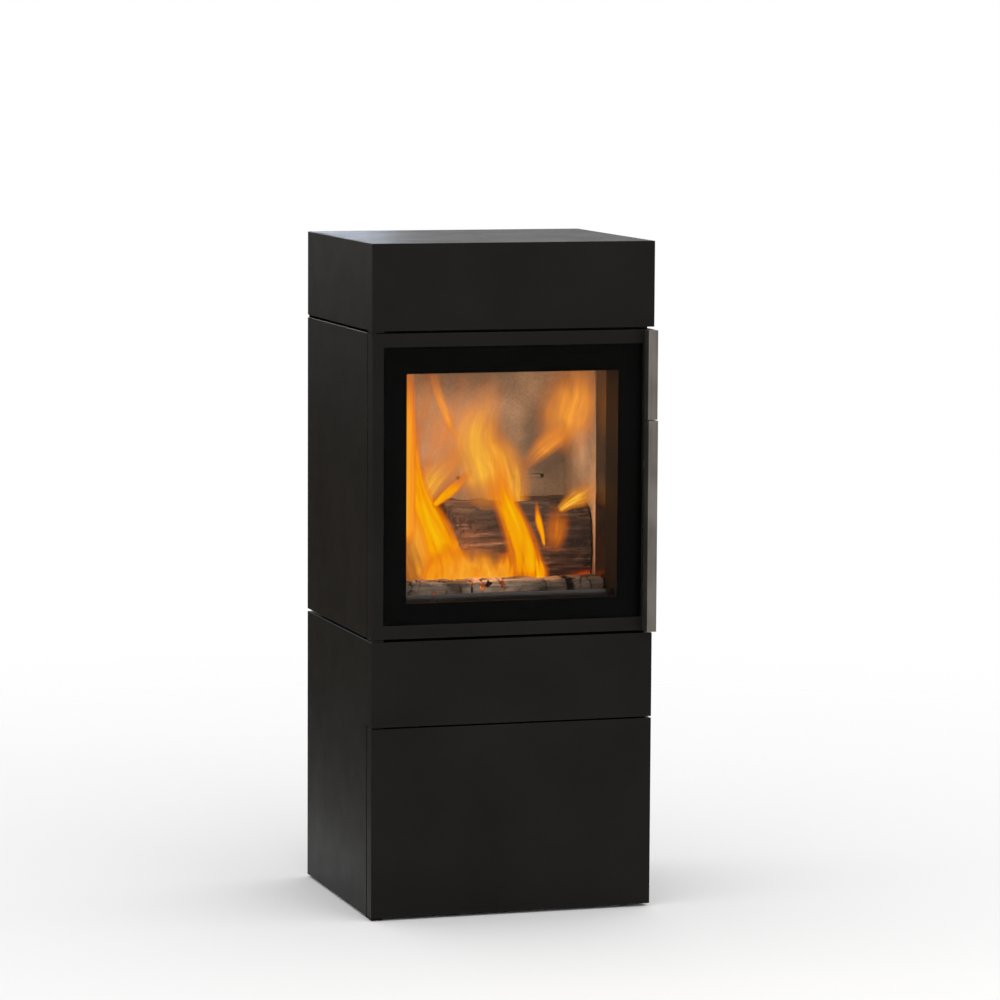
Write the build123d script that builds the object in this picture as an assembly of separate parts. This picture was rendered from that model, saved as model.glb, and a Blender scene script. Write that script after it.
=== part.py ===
from build123d import *
import os

# Free-standing wood burning stove: a firebox with a glazed door between a plain top casing and a
# pedestal with a storage compartment. Millimetres. X runs to the right, Y to the back and Z up.
# The pieces are laid out about the middle of the casing, at floor level. write() then moves them all
# back a little, so that the origin is on the floor under the middle of the whole stove, handle included.

# ---------------------------------------------------------------- driving dimensions
WIDTH = 450.0
DEPTH = 380.0
HEIGHT = 1036.0
SEAM = 4.0  # open shadow gap between the stacked casings
SHEET = 2.0  # casing sheet
PLATE = 4.0  # welded firebox and front frame plate
DOOR_THICK = 25.0  # both doors
DOOR_GAP = 3.5  # from a closed door's back to the fixed front
FOOT_HEIGHT = 3.0
LOWER_TOP = 430.0  # top of the pedestal
STRIP_BOTTOM = 299.0  # lower edge of the fixed strip above the storage door
STORAGE_DOOR_LOW = 4.5
STORAGE_DOOR_HIGH = 296.5
FIRE_DOOR_LOW = 434.5
FIRE_DOOR_HIGH = 900.0
GLASS_WIDTH = 413.6
GLASS_LOW = 455.3
GLASS_HIGH = 878.9
GLASS_THICK = 4.0
WINDOW_WIDTH = 338.6
WINDOW_LOW = 487.5
WINDOW_HIGH = 838.0
FIREBOX_WIDTH = 408.0
FIREBOX_BACK = 139.0
FIREBOX_LOW = 436.0
FIREBOX_HIGH = 1010.0
MOUTH_WIDTH = 350.0  # opening in the front frame, and the inner width of the fire chamber
MOUTH_LOW = 448.0
MOUTH_HIGH = 870.0
JAMB_DEPTH = 49.5
CHEEK_BACK = -59.0
LINING = 25.0  # insulating board
LINING_HIGH = 840.0
HEARTH = 470.0  # top of the hearth bricks and the grate
FLUE_RADIUS = 74.5  # outside of the collar
FLUE_HEIGHT = 930.0
BAR_LEFT = 208.2  # handle and air lever: folded bars of one section in one line
BAR_RIGHT = 223.7
BAR_WALL = 5.0
BAR_STANDOFF = 3.5
HANDLE_REACH = 25.0
LEVER_REACH = 22.0
HANDLE_LOW = 434.5
HANDLE_HIGH = 761.0
LEVER_LOW = 762.5
LEVER_HIGH = 900.0
HINGE_X = -218.0
PIN_RADIUS = 4.0
STORAGE_PIN_RADIUS = 3.0
RUNNING = 0.05  # radial clearance of turning and sliding fits
SHAFT_X = 214.7
SHAFT_RADIUS = 3.5
HUB_RADIUS = 5.2
ROD_RADIUS = 3.0
SCREW_HEAD = 2.0  # how far the screw heads stand out of the back panel

# ---------------------------------------------------------------- planes worked out from them
FRONT = -DEPTH / 2
BACK = DEPTH / 2
TO_ORIGIN = (HANDLE_REACH - SCREW_HEAD) / 2
SIDE = WIDTH / 2
INNER = SIDE - SHEET
DOOR_BACK = FRONT + DOOR_THICK
FRAME_FRONT = DOOR_BACK + DOOR_GAP
FRAME_BACK = FRAME_FRONT + PLATE
HINGE_Y = DOOR_BACK - 8.0
SHAFT_Y = FRONT + 13.0
UPPER_LOW = FIRE_DOOR_HIGH + SEAM
BASE_HIGH = FOOT_HEIGHT + PLATE
BOX_SIDE = FIREBOX_WIDTH / 2
BOX_INNER = BOX_SIDE - PLATE
MOUTH = MOUTH_WIDTH / 2
JAMB_BACK = FRAME_BACK + JAMB_DEPTH
REAR_LINING_FRONT = FIREBOX_BACK - PLATE - 5.0 - LINING
GLASS_SIDE = GLASS_WIDTH / 2
POCKET_SIDE = GLASS_SIDE + 0.2
GLASS_FRONT = FRONT + 1.0
GLASS_BACK = GLASS_FRONT + GLASS_THICK
FLANGE_FRONT = FRONT + 7.0
FLANGE_BACK = FLANGE_FRONT + 3.0
WINDOW_SIDE = WINDOW_WIDTH / 2
STILE_POCKET_LEFT = POCKET_SIDE + 2.0
STILE_POCKET_RIGHT = 220.4
NOTCH_EDGE = 207.9  # right edge of the fire door beside the air lever
ROD_HEIGHTS = (800.0, 862.0)
ROD_X = 216.4
HOOK_HEIGHTS = (480.0, 720.0)
HANDLE_ARM_HEIGHTS = (504.0, 598.0, 692.0)
KEEPER_X = 208.7
KEEPER_Y = SHAFT_Y + 26.9


def block(x0, x1, y0, y1, z0, z1):
    """A box between two corners."""
    size = Box(x1 - x0, y1 - y0, z1 - z0, align=(Align.MIN, Align.MIN, Align.MIN))
    return Pos(x0, y0, z0) * size


def upright(x, y, z0, z1, radius):
    """A vertical cylinder."""
    return Pos(x, y, z0) * Cylinder(radius, z1 - z0, align=(Align.CENTER, Align.CENTER, Align.MIN))


def along_y(x, z, y0, y1, radius):
    """A cylinder that runs from front to back."""
    rod = Cylinder(radius, y1 - y0, align=(Align.CENTER, Align.CENTER, Align.MIN))
    return Pos(x, y0, z) * Rot(-90, 0, 0) * rod


def across(x0, x1, y, z, radius):
    """A cylinder that runs from left to right."""
    rod = Cylinder(radius, x1 - x0, align=(Align.CENTER, Align.CENTER, Align.MIN))
    return Pos(x0, y, z) * Rot(0, 90, 0) * rod


def ring_plate(outer, inner, y0, y1):
    """An upright rectangular ring; outer and inner are (half width, low, high)."""
    solid = block(-outer[0], outer[0], y0, y1, outer[1], outer[2])
    return solid - block(-inner[0], inner[0], y0 - 1, y1 + 1, inner[1], inner[2])


def slot_row(columns, pitch, width, z0, z1, y0, y1):
    """Upright slots in a row, centred on the middle of the stove."""
    first = -pitch * (columns - 1) / 2
    places = [first + pitch * i for i in range(columns)]
    return [block(x - width / 2, x + width / 2, y0, y1, z0, z1) for x in places]


def write(name, shape):
    """Saves one node, as one solid or as a group of separate solids."""
    solids = shape if isinstance(shape, list) else list(shape.solids())
    placed = [Pos(0, TO_ORIGIN, 0) * solid for solid in solids]
    export_step(placed[0] if len(placed) == 1 else Compound(children=placed), f"parts/{name}.step")


# ---------------------------------------------------------------- pedestal
FOOT_PLACES = [(x, y) for x in (-195.0, 195.0) for y in (-130.0, 160.0)]
FOOT_STUD = 5.0


def lower_casing():
    """Folded sheet: both sides, the strip over the storage door and the jambs beside it."""
    body = block(-SIDE, SIDE, FRONT, FRONT + SHEET, STRIP_BOTTOM, LOWER_TOP)
    body += block(-INNER, INNER, FRONT + SHEET, -130, STRIP_BOTTOM, STRIP_BOTTOM + SHEET)
    for s in (-1, 1):
        x0, x1 = sorted((s * INNER, s * SIDE))
        body += block(x0, x1, FRONT, BACK, STRIP_BOTTOM, LOWER_TOP)
        body += block(x0, x1, FRAME_FRONT, BACK, FOOT_HEIGHT, STRIP_BOTTOM)
        j0, j1 = sorted((s * (INNER - 12), s * INNER))
        body += block(j0, j1, FRAME_FRONT, FRAME_FRONT + SHEET, BASE_HIGH, STRIP_BOTTOM)
    return body


def base_plate():
    plate = block(-INNER, INNER, FRAME_FRONT, BACK - 4, FOOT_HEIGHT, BASE_HIGH)
    for x, y in FOOT_PLACES:
        plate -= upright(x, y, 0, BASE_HIGH + 1, FOOT_STUD)
    return plate


def levelling_feet():
    """Disc feet on threaded studs, turned from inside the compartment with a screwdriver."""
    feet = []
    for x, y in FOOT_PLACES:
        foot = upright(x, y, 0, FOOT_HEIGHT, 17) + upright(x, y, FOOT_HEIGHT, BASE_HIGH + 13, FOOT_STUD)
        foot -= block(x - 6, x + 6, y - 0.6, y + 0.6, BASE_HIGH + 11, BASE_HIGH + 14)
        feet.append(foot)
    return feet


def lower_back_panel():
    panel = block(-INNER, INNER, BACK - 4, BACK - 2, FOOT_HEIGHT, LOWER_TOP - 3)
    for slot in slot_row(9, 36, 10, 340, 400, BACK - 5, BACK - 1):
        panel -= slot
    return panel


def lower_top_plate():
    """Closes the pedestal and carries the firebox, with the air inlet at the back."""
    plate = block(-INNER, INNER, FRONT + SHEET, BACK - 2, LOWER_TOP - 3, LOWER_TOP)
    return plate - block(-90, 90, 142, 162, LOWER_TOP - 4, LOWER_TOP + 1)


def storage_door_shell():
    """Front sheet with its four edges folded back."""
    low, high = STORAGE_DOOR_LOW, STORAGE_DOOR_HIGH
    shell = block(-SIDE, SIDE, FRONT, DOOR_BACK, low, high)
    shell -= block(-INNER, INNER, FRONT + SHEET, DOOR_BACK + 1, low + SHEET, high - SHEET)
    return shell - upright(HINGE_X, HINGE_Y, low - 1, high + 1, STORAGE_PIN_RADIUS + 0.3)


def storage_door_liner():
    low, high = STORAGE_DOOR_LOW + SHEET, STORAGE_DOOR_HIGH - SHEET
    pan = block(-INNER, INNER, FRONT + SHEET, DOOR_BACK, low, high)
    hollow = block(-INNER + 1.5, INNER - 1.5, FRONT, DOOR_BACK - 1.5, low + 1.5, high - 1.5)
    pan -= hollow
    for z0, z1 in ((low - 1, low + 22), (high - 22, high + 1)):
        pan -= block(-INNER - 1, -INNER + 18, FRONT, DOOR_BACK - 1.5, z0, z1)
    return pan


def storage_hinge_blocks():
    blocks = []
    for z0 in (STORAGE_DOOR_LOW + SHEET, STORAGE_DOOR_HIGH - SHEET - 20):
        piece = block(-INNER, -INNER + 16, FRONT + 7, DOOR_BACK - 1.5, z0, z0 + 20)
        piece -= upright(HINGE_X, HINGE_Y, z0 - 1, z0 + 21, STORAGE_PIN_RADIUS + RUNNING)
        blocks.append(piece)
    return blocks


def storage_hinge_lugs():
    """Bare plates that carry the storage door's two pins."""
    lugs = []
    for z0, z1 in ((0.5, FOOT_HEIGHT), (STORAGE_DOOR_HIGH + 0.5, STRIP_BOTTOM)):
        lug = block(-SIDE + 1, -SIDE + 20, FRONT + 4, -150, z0, z1)
        lug -= upright(HINGE_X, HINGE_Y, z0 - 1, z1 + 1, STORAGE_PIN_RADIUS)
        if z0 > FOOT_HEIGHT:
            lug -= block(-SIDE, -INNER + 12, FRAME_FRONT, -149, z0 - 1, z1 + 1)
        lugs.append(lug)
    return lugs


def storage_hinge_pins():
    low = STORAGE_DOOR_LOW
    lower = upright(HINGE_X, HINGE_Y, 0.5, low + 16, STORAGE_PIN_RADIUS)
    lower += upright(HINGE_X, HINGE_Y, FOOT_HEIGHT, low - 0.3, 5)
    upper = upright(HINGE_X, HINGE_Y, STORAGE_DOOR_HIGH - 16, STRIP_BOTTOM, STORAGE_PIN_RADIUS)
    return [lower, upper]


LATCH_X = 172.0
LATCH_Z = 289.0
LATCH_FRONT = -160.0
LATCH_TRAVEL = 3.0
PLUNGER_RADIUS = 4.0


def push_latch_housing():
    body = block(LATCH_X - 12, LATCH_X + 12, LATCH_FRONT, -131, LATCH_Z - 10, STRIP_BOTTOM)
    bore = along_y(LATCH_X, LATCH_Z, LATCH_FRONT - 1, -137, PLUNGER_RADIUS + RUNNING)
    return body - bore


def push_latch_plunger():
    tip = DOOR_BACK + 1.5 + 0.3
    return along_y(LATCH_X, LATCH_Z, tip, -137 - LATCH_TRAVEL - 1, PLUNGER_RADIUS)


def storage_strike_plate():
    return block(LATCH_X - 12, LATCH_X + 12, DOOR_BACK, DOOR_BACK + 1.5, LATCH_Z - 7, LATCH_Z + 5)


# ---------------------------------------------------------------- middle casing
def side_panel(s):
    x0, x1 = sorted((s * INNER, s * SIDE))
    f0, f1 = sorted((s * (INNER - 10), s * INNER))
    low, high = LOWER_TOP + SEAM, FIRE_DOOR_HIGH
    panel = block(x0, x1, FRAME_FRONT, BACK, low, high)
    panel += block(f0, f1, FRAME_BACK + 4, BACK - 4, low, low + SHEET)
    panel += block(f0, f1, FRAME_BACK + 4, BACK - 4, high - SHEET, high)
    return panel


def front_frame():
    """Plate behind the fire door, with jambs folded in beside the mouth."""
    frame = ring_plate((INNER, LOWER_TOP, UPPER_LOW), (MOUTH, MOUTH_LOW, MOUTH_HIGH), FRAME_FRONT, FRAME_BACK)
    for s in (-1, 1):
        x0, x1 = sorted((s * MOUTH, s * (MOUTH + 3)))
        frame += block(x0, x1, FRAME_BACK, JAMB_BACK, MOUTH_LOW, MOUTH_HIGH)
    for z in HOOK_HEIGHTS:
        frame -= block(BOX_SIDE + 2, INNER + 1, FRAME_FRONT - 1, FRAME_BACK + 1, z - 6, z + 6)
    for z in ROD_HEIGHTS:
        frame -= along_y(ROD_X, z, FRAME_FRONT - 1, FRAME_BACK + 1, ROD_RADIUS + RUNNING)
    return frame


def back_panel():
    """Outer back sheet of the fire and top modules, with the flue hole and convection slots."""
    panel = block(-INNER, INNER, BACK - SHEET, BACK, LOWER_TOP + SEAM, HEIGHT - 4)
    panel -= along_y(0, FLUE_HEIGHT, BACK - 4, BACK + 1, FLUE_RADIUS + 10.5)
    for z0 in (470, 560, 650, 740):
        for slot in slot_row(11, 34, 8, z0, z0 + 60, BACK - 4, BACK + 1):
            panel -= slot
    return panel


def back_panel_screws():
    """Pan head screws down both edges of the back panel."""
    screws = []
    for s in (-1, 1):
        for z in (450, 600, 750, 890, 1015):
            screws.append(along_y(s * 212, z, BACK, BACK + SCREW_HEAD, 4))
    return screws


def rear_heat_shield():
    shield = block(-208, 208, 165, 166.5, LOWER_TOP, 1000)
    for s in (-1, 1):
        x0, x1 = sorted((s * 190, s * 191.5))
        shield += block(x0, x1, FIREBOX_BACK, 165, LOWER_TOP, 1000)
    return shield - along_y(0, FLUE_HEIGHT, FIREBOX_BACK - 1, 168, FLUE_RADIUS + 17)


# ---------------------------------------------------------------- top casing
TOP_PLATE = 4.0
PLATE_JOINT = 0.6


def top_casing():
    """Folded sheet: front, both sides and a narrow return under them."""
    body = block(-SIDE, SIDE, FRONT, FRONT + SHEET, UPPER_LOW, HEIGHT)
    body += block(-INNER, INNER, FRONT + SHEET, DOOR_BACK, UPPER_LOW, UPPER_LOW + SHEET)
    for s in (-1, 1):
        x0, x1 = sorted((s * INNER, s * SIDE))
        f0, f1 = sorted((s * (INNER - 14), s * INNER))
        body += block(x0, x1, FRONT, BACK, UPPER_LOW, HEIGHT)
        body += block(f0, f1, DOOR_BACK, BACK - 4, UPPER_LOW, UPPER_LOW + SHEET)
    return body


def top_plate():
    """Lies flush inside the top casing, with a fine joint all round."""
    edge = INNER - PLATE_JOINT
    plate = block(-edge, edge, FRONT + SHEET + PLATE_JOINT, BACK, HEIGHT - TOP_PLATE, HEIGHT)
    return chamfer(plate.faces().sort_by(Axis.Z)[-1].edges(), 0.5)


def top_supports():
    """Angle brackets in the corners that carry the top plate."""
    brackets = []
    for s in (-1, 1):
        for y in (-150.0, 150.0):
            x0, x1 = sorted((s * (INNER - 18), s * INNER))
            v0, v1 = sorted((s * (INNER - 2), s * INNER))
            high = HEIGHT - TOP_PLATE
            bracket = block(x0, x1, y - 15, y + 15, high - 2, high)
            bracket += block(v0, v1, y - 15, y + 15, high - 20, high - 2)
            brackets.append(bracket)
    return brackets


# ---------------------------------------------------------------- firebox and flue
AIR_SLOTS_Y = (-70.0, -50.0, -30.0)
AIR_SLOT = 8.0
BLANK_Y = 30.0
BLANK_RADIUS = 84.0
BLANK_SCREWS = [(78.0, 90 + 120 * i) for i in range(3)]


def blank_places():
    """Screw places round the blanked top outlet."""
    return [Vector(0, BLANK_Y, 0) + Vector(r, 0, 0).rotate(Axis.Z, a) for r, a in BLANK_SCREWS]


def firebox_body():
    """Welded box, open at the front: the fire chamber with the smoke chamber above it."""
    box = block(-BOX_SIDE, BOX_SIDE, FRAME_BACK, FIREBOX_BACK, FIREBOX_LOW, FIREBOX_HIGH)
    inner_back = FIREBOX_BACK - PLATE
    box -= block(-BOX_INNER, BOX_INNER, FRAME_BACK - 1, inner_back, FIREBOX_LOW + PLATE, MOUTH_HIGH)
    box -= block(-BOX_INNER, BOX_INNER, FRAME_BACK + PLATE, inner_back, MOUTH_HIGH, FIREBOX_HIGH - PLATE)
    box -= along_y(0, FLUE_HEIGHT, FIREBOX_BACK - PLATE - 1, FIREBOX_BACK + 1, FLUE_RADIUS - 2.5)
    box -= upright(0, BLANK_Y, FIREBOX_HIGH - PLATE - 1, FIREBOX_HIGH + 1, FLUE_RADIUS - 2.5)
    for place in blank_places():
        box -= upright(place.X, place.Y, FIREBOX_HIGH - PLATE - 1, FIREBOX_HIGH + 1, 2.5)
    for y in AIR_SLOTS_Y:
        box -= block(BOX_INNER - 1, BOX_SIDE + 1, y, y + AIR_SLOT, 805, 860)
    return box


def flue_collar():
    """Short rear outlet, flanged to the firebox and ending inside the casing."""
    collar = along_y(0, FLUE_HEIGHT, FIREBOX_BACK, BACK - 4, FLUE_RADIUS)
    collar += along_y(0, FLUE_HEIGHT, FIREBOX_BACK, FIREBOX_BACK + 3, FLUE_RADIUS + 5.0)
    return collar - along_y(0, FLUE_HEIGHT, FIREBOX_BACK - 1, BACK, FLUE_RADIUS - 2.5)


def flue_blanking_plate():
    """Cast cover over the unused top outlet."""
    plate = upright(0, BLANK_Y, FIREBOX_HIGH, FIREBOX_HIGH + 4, BLANK_RADIUS)
    plate += upright(0, BLANK_Y, FIREBOX_HIGH - PLATE, FIREBOX_HIGH, FLUE_RADIUS - 3.5)
    for place in blank_places():
        plate -= upright(place.X, place.Y, FIREBOX_HIGH - 1, FIREBOX_HIGH + 5, 2.5)
    return plate


def blanking_plate_screws():
    screws = []
    for place in blank_places():
        shank = upright(place.X, place.Y, FIREBOX_HIGH - PLATE, FIREBOX_HIGH + 4, 2.5)
        screws.append(shank + upright(place.X, place.Y, FIREBOX_HIGH + 4, FIREBOX_HIGH + 7.5, 4.5))
    return screws


# ---------------------------------------------------------------- hearth and linings
FLOOR = FIREBOX_LOW + PLATE
PAN_SIDE = 113.0
GRATE_EDGE = 10.0
GRATE_THICK = 7.0
GRATE_FRONT = -140.0
GRATE_BACK = 57.0
RETAINER_HIGH = 496.0


def floor_brick(s):
    """Hearth brick beside the ash pan, rebated for the grate."""
    x0, x1 = sorted((s * PAN_SIDE, s * MOUTH))
    r0, r1 = sorted((s * PAN_SIDE, s * (PAN_SIDE + GRATE_EDGE)))
    brick = block(x0, x1, -155, REAR_LINING_FRONT, FLOOR, HEARTH)
    return brick - block(r0, r1, GRATE_FRONT, GRATE_BACK, HEARTH - GRATE_THICK, HEARTH + 1)


def floor_brick_back():
    return block(-PAN_SIDE, PAN_SIDE, GRATE_BACK + 1, REAR_LINING_FRONT, FLOOR, HEARTH)


def ash_pan():
    """Loose tray under the grate, with a lip to pull it by."""
    side = PAN_SIDE - 2
    tray = block(-side, side, -152, GRATE_BACK - 1, FLOOR, HEARTH - 9)
    tray -= block(-side + 1.5, side - 1.5, -150.5, GRATE_BACK - 2.5, FLOOR + 1.5, HEARTH)
    return tray + block(-30, 30, -156, -152, HEARTH - 10.5, HEARTH - 9)


def grate():
    """Cast grate with slots from front to back."""
    side = PAN_SIDE + GRATE_EDGE - 0.5
    plate = block(-side, side, GRATE_FRONT + 0.5, GRATE_BACK - 0.5, HEARTH - GRATE_THICK, HEARTH)
    for row in ((-125, -48), (-36, 41)):
        for slot in slot_row(11, 19, 9, HEARTH - GRATE_THICK - 1, HEARTH + 1, row[0], row[1]):
            plate -= slot
    return plate


def log_retainer():
    """Upright strip that keeps the logs off the glass, with a foot in front of the grate."""
    strip = block(-MOUTH + 0.5, MOUTH - 0.5, -153, -150, HEARTH, RETAINER_HIGH)
    return strip + block(-PAN_SIDE + 0.5, PAN_SIDE - 0.5, -153, GRATE_FRONT, HEARTH - GRATE_THICK, HEARTH)


AIR_HOLE_HEIGHT = 646.0
AIR_HOLE_PITCH = 47.0


def rear_lining():
    """Insulating board with a row of air holes."""
    board = block(-BOX_INNER, BOX_INNER, REAR_LINING_FRONT, REAR_LINING_FRONT + LINING, FLOOR, LINING_HIGH)
    for i in range(-3, 4):
        hole = along_y(i * AIR_HOLE_PITCH, AIR_HOLE_HEIGHT, REAR_LINING_FRONT - 1, FIREBOX_BACK, 3)
        board -= hole
    return board


def side_lining(s):
    x0, x1 = sorted((s * MOUTH, s * BOX_INNER))
    return block(x0, x1, CHEEK_BACK, REAR_LINING_FRONT, FLOOR, LINING_HIGH)


def side_cheeks():
    """Smooth steel plates between the jambs and the side linings."""
    cheeks = []
    for s in (-1, 1):
        x0, x1 = sorted((s * (MOUTH + 0.5), s * (MOUTH + 6.5)))
        cheeks.append(block(x0, x1, JAMB_BACK, CHEEK_BACK, FLOOR, LINING_HIGH))
    return cheeks


def baffle_board():
    """Insulating board that lies on the linings, open at the front for the smoke."""
    return block(-BOX_INNER, BOX_INNER, -70, REAR_LINING_FRONT + LINING, LINING_HIGH, LINING_HIGH + 22)


def smoke_shelf():
    """Steel shelf above the baffle that turns the smoke forward once more."""
    high = LINING_HIGH + 45
    shelf = block(-BOX_INNER + 1, BOX_INNER - 1, -66, REAR_LINING_FRONT, high, high + 3)
    for s in (-1, 1):
        x0, x1 = sorted((s * (BOX_INNER - 4), s * (BOX_INNER - 1)))
        shelf += block(x0, x1, -66, REAR_LINING_FRONT, LINING_HIGH + 22, high)
    return shelf


def airwash_deflector():
    """Angle that turns warm air down over the glass."""
    back = FRAME_BACK + PLATE
    strip = block(-MOUTH + 0.5, MOUTH - 0.5, back, back + 2, 846, 900)
    return strip + block(-MOUTH + 0.5, MOUTH - 0.5, back + 2, back + 18, 846, 848)


# ---------------------------------------------------------------- fire door
def door_frame():
    """Outer frame round the glass: a flat border, a solid hinge stile and a hollow latch stile."""
    low, high = FIRE_DOOR_LOW, FIRE_DOOR_HIGH
    glass_low, glass_high = GLASS_LOW - 0.4, GLASS_HIGH + 0.4
    frame = ring_plate((SIDE, low, high), (POCKET_SIDE, glass_low, glass_high), FRONT, FLANGE_BACK)
    frame += ring_plate((SIDE, low, high), (POCKET_SIDE, low + SHEET, high - SHEET), FLANGE_BACK, DOOR_BACK)
    window = (WINDOW_SIDE, WINDOW_LOW, WINDOW_HIGH)
    frame += ring_plate((POCKET_SIDE, glass_low, glass_high), window, FLANGE_FRONT, FLANGE_BACK)
    stile = block(STILE_POCKET_LEFT, STILE_POCKET_RIGHT, FRONT + 6, DOOR_BACK + 1, 440, HANDLE_HIGH - 5)
    frame -= stile
    frame -= block(NOTCH_EDGE, SIDE + 1, FRONT - 1, DOOR_BACK + 1, LEVER_LOW - 0.8, high + 1)
    for z in HANDLE_ARM_HEIGHTS:
        frame -= block(208.6, 217.2, FRONT - 1, FRONT + 7, z - 5.5, z + 5.5)
    for z0, z1 in ((low - 1, low + 18), (high - 18, high + 1)):
        frame -= upright(HINGE_X, HINGE_Y, z0, z1, PIN_RADIUS + RUNNING)
    return frame


GROOVE_IN = 183.0
GROOVE = 8.4
GROOVE_LOW = 438.8
GROOVE_HIGH = 879.4
ROPE_PLAY = 0.2


def door_inner_frame():
    """Cast frame behind the glass flange, grooved for the rope seal."""
    frame = ring_plate((199.8, 437, 897.6), (172, 451, 864), FLANGE_BACK, DOOR_BACK - 1.5)
    outer = (GROOVE_IN + GROOVE, GROOVE_LOW, GROOVE_HIGH)
    inner = (GROOVE_IN, GROOVE_LOW + GROOVE, GROOVE_HIGH - GROOVE)
    return frame - ring_plate(outer, inner, DOOR_BACK - 10.5, DOOR_BACK)


def door_gasket():
    """Glass fibre rope in the groove, flattened against the front frame."""
    p = ROPE_PLAY
    outer = (GROOVE_IN + GROOVE - p, GROOVE_LOW + p, GROOVE_HIGH - p)
    inner = (GROOVE_IN + p, GROOVE_LOW + GROOVE - p, GROOVE_HIGH - GROOVE + p)
    return ring_plate(outer, inner, DOOR_BACK - 10.5, FRAME_FRONT - 0.3)


def door_glass():
    glass = block(-GLASS_SIDE, GLASS_SIDE, GLASS_FRONT, GLASS_BACK, GLASS_LOW, GLASS_HIGH)
    return chamfer(glass.faces().sort_by(Axis.Y)[0].edges(), 0.6)


PRINT_THICK = 0.4


def glass_print():
    """Black enamel border fired on to the back of the glass."""
    outer = (GLASS_SIDE - 0.1, GLASS_LOW + 0.1, GLASS_HIGH - 0.1)
    return ring_plate(outer, (WINDOW_SIDE, WINDOW_LOW, WINDOW_HIGH), GLASS_BACK, GLASS_BACK + PRINT_THICK)


def glass_tape():
    """Self-adhesive seal that beds the glass on the frame's flange."""
    outer = (GLASS_SIDE - 2, GLASS_LOW + 2, GLASS_HIGH - 2)
    inner = (WINDOW_SIDE + 2, WINDOW_LOW - 2, WINDOW_HIGH + 2)
    return ring_plate(outer, inner, GLASS_BACK + PRINT_THICK, FLANGE_FRONT)


def door_hinge_lugs():
    """Bare plates in the two seams that carry the fire door's pins."""
    lugs = []
    for z0 in (LOWER_TOP, UPPER_LOW - 3):
        lug = block(-SIDE + 1, -SIDE + 20, FRONT + 4, FRAME_FRONT, z0, z0 + 3)
        lugs.append(lug - upright(HINGE_X, HINGE_Y, z0 - 1, z0 + 4, PIN_RADIUS))
    return lugs


def door_hinge_pins():
    """The lower pin has a collar that carries the door's weight."""
    lower = upright(HINGE_X, HINGE_Y, LOWER_TOP, FIRE_DOOR_LOW + 17, PIN_RADIUS)
    lower += upright(HINGE_X, HINGE_Y, LOWER_TOP + 3, FIRE_DOOR_LOW - 0.3, 6.5)
    upper = upright(HINGE_X, HINGE_Y, FIRE_DOOR_HIGH - 17, UPPER_LOW, PIN_RADIUS)
    return [lower, upper]


# ---------------------------------------------------------------- handle and latch
def folded_bar(reach, low, high):
    """Bar open to the right and the back: a flank, a face and two closed ends."""
    y0, y1 = FRONT - reach, FRONT - BAR_STANDOFF
    bar = block(BAR_LEFT, BAR_RIGHT, y0, y1, low, high)
    bar -= block(BAR_LEFT + BAR_WALL, SIDE + 1, y0 + BAR_WALL, y1 + 1, low + BAR_WALL, high - BAR_WALL)
    long_edges = bar.edges().filter_by(Axis.Z).group_by(Axis.Y)[0]
    return fillet(long_edges, 1.0)


def door_handle():
    """Grip bar with three arms that pass through the stile to the latch shaft."""
    handle = folded_bar(HANDLE_REACH, HANDLE_LOW, HANDLE_HIGH)
    for z in HANDLE_ARM_HEIGHTS:
        arm = block(BAR_LEFT, 216.7, FRONT - 7, FRONT - 2.5, z - 4, z + 4)
        arm += block(211.7, 216.7, FRONT - 2.5, SHAFT_Y, z - 4, z + 4)
        arm += upright(SHAFT_X, SHAFT_Y, z - 4, z + 4, HUB_RADIUS)
        handle += arm - upright(SHAFT_X, SHAFT_Y, z - 5, z + 5, SHAFT_RADIUS)
    return handle


def handle_shaft():
    return upright(SHAFT_X, SHAFT_Y, 442, HANDLE_HIGH - 7, SHAFT_RADIUS)


def shaft_bearings():
    """Blocks in the latch stile that the shaft turns in."""
    bearings = []
    for z0 in (444, 744):
        piece = block(STILE_POCKET_LEFT, STILE_POCKET_RIGHT, FRONT + 6, FRONT + 20, z0, z0 + 8)
        bearings.append(piece - upright(SHAFT_X, SHAFT_Y, z0 - 1, z0 + 9, SHAFT_RADIUS + RUNNING))
    return bearings


def latch_hooks():
    """Two hooks on the shaft whose noses lie behind the keeper pins."""
    hooks = []
    for z in HOOK_HEIGHTS:
        nose_front = KEEPER_Y + 2.6
        hook = upright(SHAFT_X, SHAFT_Y, z - 4, z + 4, HUB_RADIUS)
        hook += block(KEEPER_X + 2.5, SHAFT_X, SHAFT_Y, nose_front + 4, z - 4, z + 4)
        hook += block(KEEPER_X - 0.5, SHAFT_X, nose_front, nose_front + 4, z - 4, z + 4)
        hooks.append(hook - upright(SHAFT_X, SHAFT_Y, z - 5, z + 5, SHAFT_RADIUS))
    return hooks


def latch_keepers():
    """Pins held between two lugs on the firebox, one for each hook."""
    keepers = []
    for z in HOOK_HEIGHTS:
        keeper = upright(KEEPER_X, KEEPER_Y, z - 11, z + 11, 2)
        for z0 in (z - 11, z + 8):
            keeper += block(BOX_SIDE, KEEPER_X + 3.3, FRAME_BACK + 1.5, KEEPER_Y + 5, z0, z0 + 3)
        keepers.append(keeper)
    return keepers


# ---------------------------------------------------------------- combustion air lever
SLIDE_LEFT = BOX_SIDE + 0.4
SLIDE_RIGHT = SLIDE_LEFT + 2
SLIDE_FRONT = -90.0
SLIDE_BACK = -2.0
SLIDE_LOW = 788.0
SLIDE_HIGH = 876.0


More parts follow.
